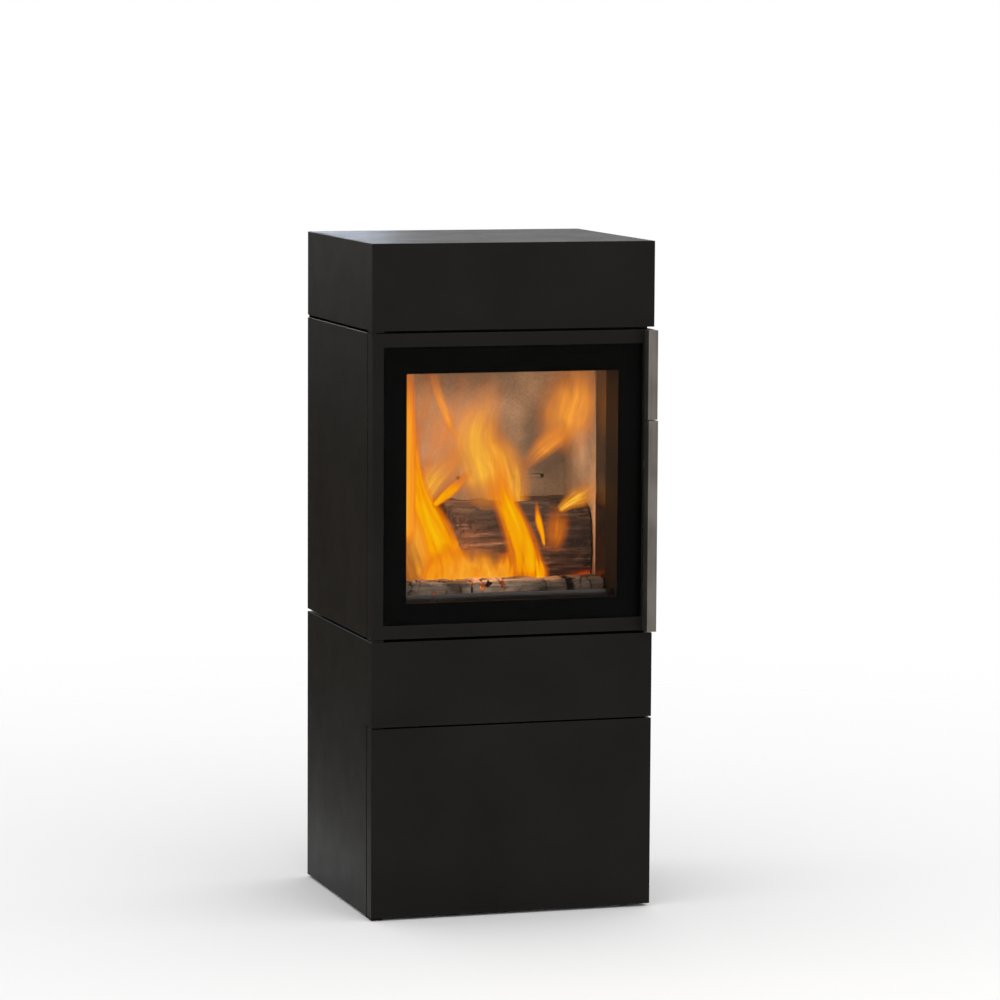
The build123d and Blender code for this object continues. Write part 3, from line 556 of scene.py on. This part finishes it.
def screw_set(node):
    """Detailed heads where a node's plain screw heads are, one for each of its loose solids."""
    boxes = loose_boxes(NODES[node].data)
    heads = bmesh.new()
    for low, high in boxes:
        middle = (low + high) / 2
        screw_head(heads, Vector((middle.x, low.y, middle.z)), (high.x - low.x) / 2, high.y - low.y)
    mesh = bpy.data.meshes.new(node + "_socketed")
    heads.to_mesh(mesh)
    heads.free()
    mesh.materials.append(FINISHES["zinc_steel"])
    mesh.shade_smooth()
    piece = bpy.data.objects.new(mesh.name, mesh)
    bpy.context.scene.collection.objects.link(piece)
    edges = piece.modifiers.new("edges", "EDGE_SPLIT")
    edges.split_angle = math.radians(35)
    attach(piece, "stove")
    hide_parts(node)


door_rope()
screw_set("back_panel_screws")


# ---------------------------------------------------------------- split logs, burning
def cracks(position, spacing, width, seed):
    """How deep in a crack a point lies, 0 to 1, for cells of a given spacing along each axis."""
    warp = 0.15 * noise.noise_vector(position * 45.0 + seed) + 0.10 * noise.noise_vector(position * 190.0)
    cell = Vector((position[i] / spacing[i] for i in range(3))) + warp + seed
    near, far = noise.voronoi(cell)[0][:2]
    open_here = 0.55 + 0.9 * noise.noise(position * 30.0 - seed)
    return max(0.0, 1.0 - (far - near) / width) * max(0.0, min(1.0, open_here + 0.25))


def log_piece(name, low, high, material, spacing, width, crack_depth, lump, seed):
    """A split log along X inside its CAD box: a rounded square, grooved along, cracked at its ends."""
    size, centre = high - low, (low + high) / 2
    rows, columns = int(size.x / (1.6 * MM)), 132
    offset = Vector((seed, 2.3 * seed, 0.7 * seed))
    points, crack, lift = [], [], []
    for i in range(rows):
        along = i / (rows - 1)
        for j in range(columns):
            turn = 2 * math.pi * j / columns
            # the section is a rounded square
            c, s = math.cos(turn), math.sin(turn)
            square = (abs(c) ** 3.2 + abs(s) ** 3.2) ** (-1 / 3.2)
            y, z = 0.5 * size.y * c * square, 0.5 * size.z * s * square
            end = along * size.x / (5 * MM)
            taper = 1.0 if end > 1 else 0.95 + 0.05 * math.sqrt(max(0.0, end * (2 - end)))
            spot = Vector((low.x + along * size.x, centre.y + y, centre.z + z))
            soft = noise.fractal(spot * 11.0 + offset, 0.7, 2.1, 3) * lump
            fine = noise.fractal(spot * 90.0 + offset, 0.8, 2.2, 4) * 0.0008
            streaked = Vector((spot.x * 9.0, spot.y * 130.0, spot.z * 130.0)) + offset
            fine += noise.fractal(streaked, 0.7, 2.1, 3) * 0.0016
            depth = cracks(spot, spacing, width, offset)
            out = Vector((0, y, z)).normalized()
            inset = max(0.0, lump * 0.75 + 0.0012 - soft - fine) + depth * crack_depth
            spot = Vector((spot.x, centre.y + y * taper, centre.z + z * taper)) - out * inset
            points.append(spot)
            crack.append(depth)
            lift.append(0.5 + 0.5 * s)
    faces = grid_faces(rows, columns, True)
    rings = 9
    for row, sign in ((0, -1.0), (rows - 1, 1.0)):
        previous = [row * columns + j for j in range(columns)]
        middle = sum((points[k] for k in previous), Vector()) / columns
        for r in range(1, rings):
            share = 1 - r / rings
            ring = []
            for k in range(columns):
                rim = previous[k] if r == 1 else row * columns + k
                spot = middle + (points[rim] - middle) * share
                depth = cracks(spot, (12 * MM, 12 * MM, 12 * MM), width, offset)
                spot.x = points[row * columns].x - sign * (1.5 * MM * depth + 0.4 * MM * (r % 2))
                ring.append(len(points))
                points.append(spot)
                crack.append(depth)
                lift.append(0.4)
            for k in range(columns):
                quad = (previous[k], previous[(k + 1) % columns], ring[(k + 1) % columns], ring[k])
                faces.append(quad[::-1] if sign < 0 else quad)
            previous = ring
        points.append(Vector((points[row * columns].x, middle.y, middle.z)))
        crack.append(0.6)
        lift.append(0.4)
        for k in range(columns):
            tri = (previous[k], previous[(k + 1) % columns], len(points) - 1)
            faces.append(tri[::-1] if sign < 0 else tri)
    for spot in points:
        for axis in range(3):
            spot[axis] = min(high[axis], max(low[axis], spot[axis]))
    piece = mesh_piece(name, points, [f[::-1] for f in faces], material)
    store(piece, "crack", crack)
    store(piece, "lift", lift)
    return piece


def attribute(tree, name):
    """A number stored per point of the mesh."""
    return tree.add("ShaderNodeAttribute", attribute_name=name).outputs["Fac"]


def across_x(tree, start, end):
    """0 at X = start, 1 at X = end."""
    x = tree.add("ShaderNodeSeparateXYZ", {0: tree.place()}).outputs["X"]
    inputs = {0: x, 1: start, 2: end, 3: 0.0, 4: 1.0}
    return tree.add("ShaderNodeMapRange", inputs, clamp=True).outputs[0]


def ashen_bark(name):
    """Bark burnt pale: ash grey and brown, black cracks, a live glow in those at the left."""
    t = Tree(name)
    crack = attribute(t, "crack")
    grain = t.noise(1.0, 5.0, 0.65, (22.0, 170.0, 170.0))
    tint = t.noise(26.0, 5.0, 0.6, (0.6, 1.0, 1.0))
    brown = (0.13, 0.095, 0.070)
    tan = (0.33, 0.265, 0.205)
    ash = (0.50, 0.43, 0.355)
    base = t.ramp(grain, (0.25, brown), (0.55, tan), (0.8, ash))
    base = t.mix(t.ramp(tint, (0.46, 0.0), (0.62, 0.85)), base, (0.050, 0.038, 0.030))
    rightwards = t.ramp(across_x(t, MIDDLE, CHAMBER_RIGHT), (0.1, 0.0), (0.7, 0.62))
    base = t.mix(rightwards, base, (0.040, 0.033, 0.028))
    base = t.mix(t.ramp(crack, (0.15, 0.0), (0.55, 1.0)), base, (0.006, 0.004, 0.003))
    live = t.ramp(across_x(t, FRONT_LOG[0].x, FRONT_LOG[1].x), (0.30, 1.0), (0.62, 0.0))
    ember = t.maths("MULTIPLY", t.ramp(crack, (0.35, 0.0), (0.9, 1.0)), live)
    ember = t.maths("MULTIPLY", ember, t.ramp(t.noise(34.0, 2.0), (0.50, 0.0), (0.62, 1.0)))
    glow = t.ramp(ember, (0.0, (0.9, 0.08, 0.0)), (1.0, (1.0, 0.42, 0.04)))
    normal = t.bump(grain, 0.0012, t.bump(t.noise(500.0, 4.0), 0.0006))
    t.shader(colour=base, roughness=0.9, specular=0.2, normal=normal, glow=glow,
             glow_strength=t.maths("MULTIPLY", ember, 3.0))
    return t.material


def charcoal(name):
    """Charred wood: black and brown grain, paler flecks of ash, embers along the underside, painted
    firelight at the left.
    """
    t = Tree(name)
    crack = attribute(t, "crack")
    low = t.maths("SUBTRACT", 1.0, attribute(t, "lift"))
    grain = t.noise(1.0, 5.0, 0.7, (13.0, 150.0, 150.0))
    blotch = t.noise(20.0, 5.0, 0.6, (0.5, 1.0, 1.0))
    black = (0.012, 0.009, 0.008)
    brown = (0.075, 0.047, 0.034)
    tan = (0.25, 0.165, 0.11)
    base = t.ramp(grain, (0.32, black), (0.52, brown), (0.72, tan))
    base = t.mix(t.ramp(blotch, (0.40, 0.0), (0.62, 0.55)), base, (0.030, 0.023, 0.022))
    # painted light: a brown-orange tint over the left part stands in for the firelight falling on it
    warm = t.ramp(across_x(t, CHAMBER_LEFT, MIDDLE), (0.45, 0.55), (1.0, 0.0))
    base = t.mix(warm, base, (0.150, 0.068, 0.036))
    dusty = t.ramp(grain, (0.60, 0.0), (0.72, 1.0))
    ash = t.maths("MULTIPLY", dusty, t.ramp(t.noise(48.0, 4.0), (0.52, 0.0), (0.6, 0.9)))
    base = t.mix(ash, base, (0.42, 0.38, 0.34))
    base = t.mix(t.ramp(crack, (0.2, 0.0), (0.7, 0.6)), base, (0.010, 0.008, 0.007))
    live = t.ramp(low, (0.72, 0.0), (0.96, 1.0))
    spots = t.ramp(t.noise(30.0, 4.0, 0.6, (0.5, 1.0, 1.0)), (0.46, 0.0), (0.60, 1.0))
    ember = t.maths("MULTIPLY", live, spots)
    glow = t.ramp(ember, (0.0, (0.9, 0.05, 0.0)), (1.0, (1.0, 0.30, 0.02)))
    normal = t.bump(grain, 0.0014, t.bump(t.noise(420.0, 4.0), 0.0007))
    t.shader(colour=base, roughness=t.ramp(grain, (0.3, 0.62), (0.8, 0.92)), specular=0.35, normal=normal,
             glow=glow, glow_strength=t.maths("MULTIPLY", ember, 2.2))
    return t.material


def live_ember(name):
    """Lumps of charcoal, glowing orange in their hollows under a grey skin of ash."""
    t = Tree(name)
    skin = t.noise(150.0, 5.0, 0.6)
    base = t.ramp(skin, (0.35, (0.02, 0.014, 0.011)), (0.7, (0.34, 0.30, 0.27)))
    heat = t.ramp(t.noise(75.0, 3.0), (0.42, 0.0), (0.66, 1.0))
    glow = t.ramp(heat, (0.0, (0.8, 0.05, 0.0)), (1.0, (1.0, 0.38, 0.05)))
    t.shader(colour=base, roughness=0.95, specular=0.15, normal=t.bump(skin, 0.001), glow=glow,
             glow_strength=t.maths("MULTIPLY", heat, 2.6))
    return t.material


def loose_ash(name):
    """Flaky ash, from charcoal grey to nearly white."""
    t = Tree(name)
    flakes = t.noise(220.0, 5.0, 0.7)
    dark = (0.055, 0.048, 0.043)
    grey = (0.22, 0.205, 0.19)
    pale = (0.47, 0.45, 0.43)
    base = t.ramp(flakes, (0.3, dark), (0.55, grey), (0.75, pale))
    t.shader(colour=base, roughness=0.97, specular=0.1, normal=t.bump(flakes, 0.002))
    return t.material


EMBER = live_ember("live_ember")
# piece, node, material, slot, crack spacing, crack width, crack depth, lumpiness and seed
LOGS = (
    ("split_log_front", "log_front", ashen_bark("bark_grey"), "bark_grey",
     (25 * MM, 90 * MM, 120 * MM), 0.10, 3.0 * MM, 4.5 * MM, 1.0),
    ("split_log_back", "log_back", charcoal("bark_charred"), "bark_charred",
     (180 * MM, 24 * MM, 17 * MM), 0.09, 1.6 * MM, 5.0 * MM, 5.0),
)
for name, node, material, slot, spacing, width, depth, lump, seed in LOGS:
    low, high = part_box(node)
    wood = log_piece(name, low, high, material, spacing, width, depth, lump, seed)
    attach(wood, "stove")
    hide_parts(node)


def ash_bed():
    """A low drift of ash on the hearth, thin at its rim."""
    low_x, high_x = CHAMBER_LEFT + 3 * MM, CHAMBER_RIGHT - 3 * MM
    low_y, high_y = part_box("log_retainer")[1].y + 1.5 * MM, CHAMBER_BACK - 3 * MM
    columns, rows = 120, 84
    points = []
    for i in range(rows):
        for j in range(columns):
            u, v = j / (columns - 1), i / (rows - 1)
            rim = min(1.0, 9 * min(u, 1 - u, v, 1 - v))
            x, y = low_x + u * (high_x - low_x), low_y + v * (high_y - low_y)
            heap = noise.fractal(Vector((x, y, 0.3)) * 28.0, 0.8, 2.1, 5)
            points.append(Vector((x, y, HEARTH + 0.6 * MM + rim * (4.5 + 4.0 * heap) * MM)))
    top = len(points)
    points += [Vector((p.x, p.y, HEARTH + 0.2 * MM)) for p in points[:top]]
    faces = grid_faces(rows, columns, False)
    faces += [tuple(k + top for k in f[::-1]) for f in faces]
    rim = [j for j in range(columns)] + [i * columns + columns - 1 for i in range(1, rows)]
    rim += [(rows - 1) * columns + j for j in range(columns - 2, -1, -1)]
    rim += [i * columns for i in range(rows - 2, 0, -1)]
    for a, b in zip(rim, rim[1:] + rim[:1]):
        faces.append((b, a, a + top, b + top))
    return mesh_piece("ash_bed", points, faces, loose_ash("loose_ash"))


def ember_bed():
    """Broken coals in the gaps round the logs, each a lumpy closed stone."""
    pick = random.Random(11)
    shape = bmesh.new()
    left = CHAMBER_LEFT + 8 * MM
    right = CHAMBER_RIGHT - 8 * MM
    # least and greatest X, least and greatest Y, number of coals
    spans = (
        (left, BACK_LOG[0].x - 6 * MM, FRONT_LOG[1].y + 4 * MM, CHAMBER_BACK - 14 * MM, 120),
        (left, right, FRONT_LOG[1].y + 2 * MM, BACK_LOG[0].y - 2 * MM, 80),
        (BACK_LOG[0].x, CHAMBER_RIGHT - 10 * MM, BACK_LOG[1].y + 6 * MM, CHAMBER_BACK - 6 * MM, 46),
        (left, right, FRONT_LOG[0].y - 12 * MM, FRONT_LOG[0].y - 4 * MM, 26),
    )
    for x0, x1, y0, y1, count in spans:
        for _ in range(count):
            radius = pick.uniform(3.0, 8.0) * MM
            rise = HEARTH + 6 * MM + 0.7 * radius
            centre = Vector((pick.uniform(x0, x1), pick.uniform(y0, y1), rise))
            shift = Vector((pick.uniform(0, 9), pick.uniform(0, 9), pick.uniform(0, 9)))
            flat = Vector((pick.uniform(0.8, 1.5), pick.uniform(0.7, 1.1), pick.uniform(0.6, 0.9)))
            made = bmesh.ops.create_icosphere(shape, subdivisions=2, radius=1.0)["verts"]
            for v in made:
                lumpy = radius * (1 + 0.45 * noise.noise(v.co * 1.3 + shift))
                v.co = centre + Vector(a * b for a, b in zip(v.co, flat)) * lumpy
    mesh = bpy.data.meshes.new("ember_bed")
    shape.to_mesh(mesh)
    shape.free()
    mesh.materials.append(EMBER)
    mesh.shade_smooth()
    coals = bpy.data.objects.new("ember_bed", mesh)
    bpy.context.scene.collection.objects.link(coals)
    return coals


for bed in (ash_bed(), ember_bed()):
    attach(bed, "stove")


# ---------------------------------------------------------------- flames
def flame_glow(name, edge, middle, core, cover, streaks, fade=0.10):
    """Burning gas as a thin bright veil that fades to nothing at its edge and tip."""
    t = Tree(name)
    uv = t.add("ShaderNodeUVMap", uv_map="flame").outputs["UV"]
    split = t.add("ShaderNodeSeparateXYZ", {0: uv})
    side = t.maths("ABSOLUTE", t.maths("MULTIPLY_ADD", split.outputs["X"], 2.0, -1.0))
    body = t.ramp(side, (0.0, 1.0), (0.45, 0.72), (1.0, 0.0))
    tip = t.ramp(split.outputs["Y"], (0.0, 0.0), (fade, 1.0), (0.60, 0.88), (1.0, 0.0))
    spread = t.add("ShaderNodeMapping", {"Vector": uv, "Scale": (7.0, 1.3, 1.0)}).outputs[0]
    shift = t.add("ShaderNodeVectorMath", {0: spread, 1: t.place((9.0, 9.0, 9.0))}).outputs[0]
    lick = t.ramp(t.noise(1.0, 4.0, 0.6, vector=shift), (0.34, 1.0 - streaks), (0.64, 1.0))
    dense = t.maths("MULTIPLY", body, tip)
    heat = t.maths("MULTIPLY", dense, lick)
    colour = t.ramp(heat, (0.0, edge), (0.42, middle), (0.95, core))
    light = t.add("ShaderNodeEmission", {"Color": colour}).outputs[0]
    clear = t.add("ShaderNodeBsdfTransparent").outputs[0]
    share = t.maths("MULTIPLY", heat, cover, use_clamp=True)
    both = t.add("ShaderNodeMixShader", {0: share, 1: clear, 2: light}).outputs[0]
    t.links.new(both, t.out.inputs["Surface"])
    return t.material


def curve_through(knots, share):
    """A point on the smooth line through the knots, share from 0 to 1 (Catmull-Rom)."""
    place = share * (len(knots) - 1)
    i = min(int(place), len(knots) - 2)
    s = place - i
    a, b, c, d = (knots[max(0, min(len(knots) - 1, i + k))] for k in (-1, 0, 1, 2))
    return tuple(
        0.5 * (2 * q + (r - p) * s + (2 * p - 5 * q + 4 * r - t) * s**2 + (3 * q - p - 3 * r + t) * s**3)
        for p, q, r, t in zip(a, b, c, d)
    )


def flame_sheet(name, depth, bow, knots, material):
    """A veil along knots of (x, height above the hearth, half width) in mm, bowed to the front."""
    rows = 48
    columns = 17
    points = []
    for i in range(rows):
        share = i / (rows - 1)
        x, z, half = curve_through(knots, share)
        ahead = curve_through(knots, min(1.0, share + 0.02))
        behind = curve_through(knots, max(0.0, share - 0.02))
        run = Vector((ahead[0] - behind[0], ahead[1] - behind[1])).normalized()
        for j in range(columns):
            u = 2 * j / (columns - 1) - 1
            wave = 1.2 * noise.noise(Vector((x, z, 9 * u)) * 0.03)
            y = depth + (bow * half * (u * u - 1) + 3.0 * wave) * MM
            across = MIDDLE + (x + u * half * run.y) * MM
            up = HEARTH + (z - u * half * run.x) * MM
            points.append(Vector((across, y, up)))
    for spot in points:
        spot.x = min(CHAMBER_RIGHT - MM, max(CHAMBER_LEFT + MM, spot.x))
        spot.z = min(BAFFLE - MM, max(HEARTH + 4 * MM, spot.z))
    piece = mesh_piece(name, points, grid_faces(rows, columns, False), material)
    layer = piece.data.uv_layers.new(name="flame")
    for loop in piece.data.loops:
        row, column = divmod(loop.vertex_index, columns)
        layer.data[loop.index].uv = (column / (columns - 1), row / (rows - 1))
    piece.visible_diffuse = False
    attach(piece, "stove")


# colours at the edge, the middle and the core, cover, depth of the streaks, length of the fade
BRIGHT = flame_glow(
    "flame_bright",
    (0.80, 0.09, 0.0),
    (0.93, 0.27, 0.0),
    (0.99, 0.58, 0.003),
    2.0,
    0.55,
)
EDGE = flame_glow(
    "flame_edge",
    (0.80, 0.14, 0.005),
    (0.93, 0.27, 0.012),
    (0.99, 0.44, 0.03),
    1.9,
    0.35,
)
SOFT = flame_glow(
    "flame_soft",
    (0.75, 0.17, 0.01),
    (0.92, 0.31, 0.02),
    (0.98, 0.55, 0.05),
    1.25,
    0.50,
)
GLOW = flame_glow(
    "flame_glow",
    (0.72, 0.17, 0.02),
    (0.92, 0.32, 0.03),
    (0.98, 0.54, 0.05),
    1.25,
    0.35,
    0.22,
)
CLOUD = flame_glow(
    "flame_cloud",
    (0.74, 0.18, 0.02),
    (0.88, 0.27, 0.03),
    (0.96, 0.38, 0.05),
    1.25,
    0.40,
    0.36,
)
DIM = flame_glow(
    "flame_dim",
    (0.50, 0.09, 0.005),
    (0.62, 0.14, 0.01),
    (0.75, 0.20, 0.012),
    0.95,
    0.35,
    0.32,
)
HAZE = flame_glow(
    "flame_haze",
    (0.42, 0.11, 0.025),
    (0.58, 0.16, 0.03),
    (0.74, 0.22, 0.04),
    0.80,
    0.75,
    0.30,
)
# name, depth in mm, material, and the knots of the middle line
FLAMES = (
    (
        "flame_left",
        -30,
        BRIGHT,
        (
            (-55, 31, 41), (-68, 71, 40), (-86, 112, 34), (-103, 152, 26), (-114, 188, 20),
            (-121, 246, 17), (-127, 308, 15), (-131, 372, 10),
        ),
    ),
    (
        "flame_left_back",
        0,
        SOFT,
        ((-77, 30, 52), (-97, 85, 46), (-112, 138, 34), (-117, 190, 26), (-119, 250, 20)),
    ),
    (
        "flame_edge",
        -38,
        EDGE,
        ((-130, 90, 17), (-130, 170, 17), (-129, 250, 16), (-129, 320, 15), (-130, 380, 12)),
    ),
    (
        "flame_arm",
        -48,
        BRIGHT,
        (
            (59, 26, 28), (58, 69, 31), (48, 102, 28), (35, 134, 24), (23, 163, 22),
            (15, 193, 20), (10, 232, 12),
        ),
    ),
    (
        "flame_centre",
        10,
        SOFT,
        ((45, 120, 40), (44, 179, 46), (34, 211, 44), (24, 243, 36), (20, 290, 20)),
    ),
    (
        "flame_bloom",
        -10,
        GLOW,
        (
            (20, 128, 40), (8, 183, 52), (-4, 214, 54), (-14, 243, 52), (-8, 276, 44),
            (8, 308, 32), (16, 352, 16),
        ),
    ),
    (
        "flame_streak",
        -45,
        BRIGHT,
        ((-90, 150, 4), (-76, 163, 9), (-62, 174, 11), (-46, 187, 10), (-26, 206, 6)),
    ),
    (
        "flame_curl",
        -20,
        GLOW,
        ((-116, 120, 22), (-106, 160, 30), (-90, 186, 30), (-66, 208, 27), (-36, 236, 20)),
    ),
    (
        "flame_lick",
        -47,
        BRIGHT,
        ((92, 82, 2), (88, 102, 5), (83, 120, 7), (80, 138, 5), (77, 158, 2)),
    ),
    (
        "flame_fan",
        -46,
        SOFT,
        ((114, 138, 6), (134, 152, 15), (154, 162, 23), (184, 177, 29)),
    ),
    (
        "flame_right",
        -36,
        CLOUD,
        ((108, 228, 38), (122, 266, 52), (134, 302, 58), (140, 336, 54), (138, 372, 46)),
    ),
    (
        "flame_dart",
        -38,
        CLOUD,
        ((58, 204, 10), (80, 228, 17), (102, 246, 21), (126, 262, 18), (150, 276, 10)),
    ),
    (
        "flame_skirt",
        -48.5,
        SOFT,
        ((-30, 24, 98), (-30, 38, 96), (-28, 54, 88), (-26, 72, 74), (-24, 88, 60)),
    ),
    (
        "flame_thread",
        -10,
        CLOUD,
        ((-30, 236, 6), (-50, 269, 8), (-63, 300, 9), (-75, 332, 10), (-83, 366, 9)),
    ),
    (
        "flame_veil",
        60,
        HAZE,
        ((-60, 120, 70), (-66, 190, 90), (-56, 250, 100), (-40, 310, 105), (-30, 367, 100)),
    ),
    (
        "flame_glimmer",
        -46,
        DIM,
        ((106, 72, 14), (110, 98, 22), (113, 124, 24), (112, 152, 14)),
    ),
)
for name, depth, material, knots in FLAMES:
    flame_sheet(name, depth * MM, 0.35, knots, material)
# short broad tongues along the ember line: foot, rise, half width and lean in mm
TONGUES = (
    (-92, 44, 22, 6),
    (-66, 56, 24, -6),
    (-38, 50, 25, -12),
    (-8, 38, 26, -2),
    (22, 42, 25, 8),
    (80, 46, 20, -6),
)
for count, (x, rise, half, lean) in enumerate(TONGUES, 1):
    knots = (
        (x, 24, 1.15 * half),
        (x + 0.2 * lean, 28 + 0.35 * rise, 1.1 * half),
        (x + 0.6 * lean, 28 + 0.7 * rise, 0.8 * half),
        (x + lean, 28 + 1.2 * rise, 0.4 * half),
    )
    depth = -50.5 - 1.5 * (count % 2)
    flame_sheet(f"flame_tongue_{count}", depth * MM, 0.2, knots, BRIGHT)


# ---------------------------------------------------------------- floor, light and camera
def floor_material():
    """Pale and matt, fading into the white of the studio away from the stove."""
    t = Tree("pale_floor")
    grain = t.ramp(t.noise(900.0, 2.0), (0.3, (0.92, 0.92, 0.92)), (0.7, (0.95, 0.95, 0.95)))
    matt = t.add("ShaderNodeBsdfDiffuse", {"Color": grain}).outputs[0]
    away = t.add("ShaderNodeVectorMath", {0: t.place()}, operation="LENGTH").outputs["Value"]
    fade = t.add("ShaderNodeMapRange", {0: away, 1: 0.6, 2: 3.0, 3: 0.0, 4: 1.0}, clamp=True,
                 interpolation_type="SMOOTHSTEP").outputs[0]
    clear = t.add("ShaderNodeBsdfTransparent").outputs[0]
    both = t.add("ShaderNodeMixShader", {0: fade, 1: matt, 2: clear}).outputs[0]
    t.links.new(both, t.out.inputs["Surface"])
    return t.material


def floor():
    """A square of floor just under the feet."""
    reach = 6.0
    ground = CAD_BOX[0].z - 0.0003
    signs = ((-1, -1), (1, -1), (1, 1), (-1, 1))
    corners = [(x * reach, y * reach, ground) for x, y in signs]
    piece = mesh_piece("floor", corners, [(0, 1, 2, 3)], floor_material(), smooth=False)


def world(colour, strength):
    """Even light from all round."""
    made = bpy.data.worlds.new("studio")
    made.use_nodes = True
    background = made.node_tree.nodes["Background"]
    background.inputs["Color"].default_value = (*colour, 1.0)
    background.inputs["Strength"].default_value = strength
    bpy.context.scene.world = made


def lamp(name, kind, place, towards, colour, power, size, hidden=True):
    """An area lamp with two sides, or a point lamp with a radius.

    A lamp that isn't hidden is seen in reflections and gives no diffuse light.
    """
    data = bpy.data.lights.new(name, kind)
    data.energy = power
    data.color = colour
    if kind == "AREA":
        data.shape = "RECTANGLE"
        data.size, data.size_y = size
    else:
        data.shadow_soft_size = size
    made = bpy.data.objects.new(name, data)
    made.location = place
    made.rotation_euler = (Vector(towards) - Vector(place)).to_track_quat("-Z", "Y").to_euler()
    made.visible_camera = False
    made.visible_glossy = not hidden
    made.visible_diffuse = hidden
    bpy.context.scene.collection.objects.link(made)


def camera():
    """A long lens, left of the door and above the top, looking slightly down."""
    place = Vector((-2.053, -6.695, 1.399))
    yaw, pitch, roll, lens = 0.3021, 0.1103, 0.0055, 162.0
    ahead = Vector((math.sin(yaw) * math.cos(pitch), math.cos(yaw) * math.cos(pitch), -math.sin(pitch)))
    side = Vector((math.cos(yaw), -math.sin(yaw), 0.0))
    up = side.cross(ahead)
    right = side * math.cos(roll) + up * math.sin(roll)
    top = right.cross(ahead)
    data = bpy.data.cameras.new("camera")
    data.lens, data.sensor_width = lens, 36.0
    data.clip_end = 100.0
    made = bpy.data.objects.new("camera", data)
    made.matrix_world = Matrix((right, top, -ahead)).transposed().to_4x4()
    made.location = place
    bpy.context.scene.collection.objects.link(made)
    bpy.context.scene.camera = made


def dark_flag():
    """A dark bent card at the left, seen only in reflections, that keeps the side as deep as the front."""
    profile = ((-0.4, 0.002), (-4.5, 0.002), (-4.5, 5.0))
    corners = [(x, y, z) for y in (-1.0, 16.0) for x, z in profile]
    t = Tree("dark_card")
    t.shader(colour=(0.085, 0.058, 0.034), roughness=1.0, specular=0.0)
    piece = mesh_piece("dark_card", corners, [(0, 1, 4, 3), (1, 2, 5, 4)], t.material, smooth=False)
    piece.visible_camera = piece.visible_diffuse = piece.visible_shadow = False
    piece.visible_transmission = False


floor()
dark_flag()
world((1.0, 1.0, 1.0), 1.0)
TOP = CAD_BOX[1].z
lamp(
    "rear_glow",
    "AREA",
    (0.24, 1.85, TOP + 0.21),
    (-0.20, 0, TOP),
    (0.70, 0.80, 1.0),
    1.10,
    (0.26, 0.22),
    hidden=False,
)
lamp(
    "rear_rim",
    "AREA",
    (-0.45, 1.85, TOP + 0.60),
    (-0.2, 0, TOP),
    (0.92, 0.96, 1.0),
    20.0,
    (0.24, 0.24),
    hidden=False,
)
lamp("front_fill", "AREA", (0.6, -3.4, 2.4), (0, 0, 0.5), (1.0, 0.99, 0.97), 20.0, (2.5, 2.0))
ORANGE = (1.0, 0.42, 0.14)
AMBER = (1.0, 0.60, 0.34)
PALE = (1.0, 0.76, 0.54)
# name, place in mm, power, radius in mm and colour
FIRE_LAMPS = (
    ("fire_left", (-95, -30, 90), 0.30, 30, ORANGE),
    ("fire_front", (-30, -82, 85), 0.26, 20, ORANGE),
    ("fire_middle", (70, -84, 85), 0.26, 20, ORANGE),
    ("fire_high", (-40, -30, 230), 0.65, 50, AMBER),
    ("fire_right", (42, -28, 240), 0.56, 40, PALE),
)
for name, (x, y, z), power, radius, colour in FIRE_LAMPS:
    spot = (MIDDLE + x * MM, y * MM, HEARTH + z * MM)
    lamp(name, "POINT", spot, (0, -1, 0.5), colour, power, radius * MM)
camera()
bpy.context.scene.view_settings.view_transform = "Standard"
bpy.context.scene.view_settings.look = "None"
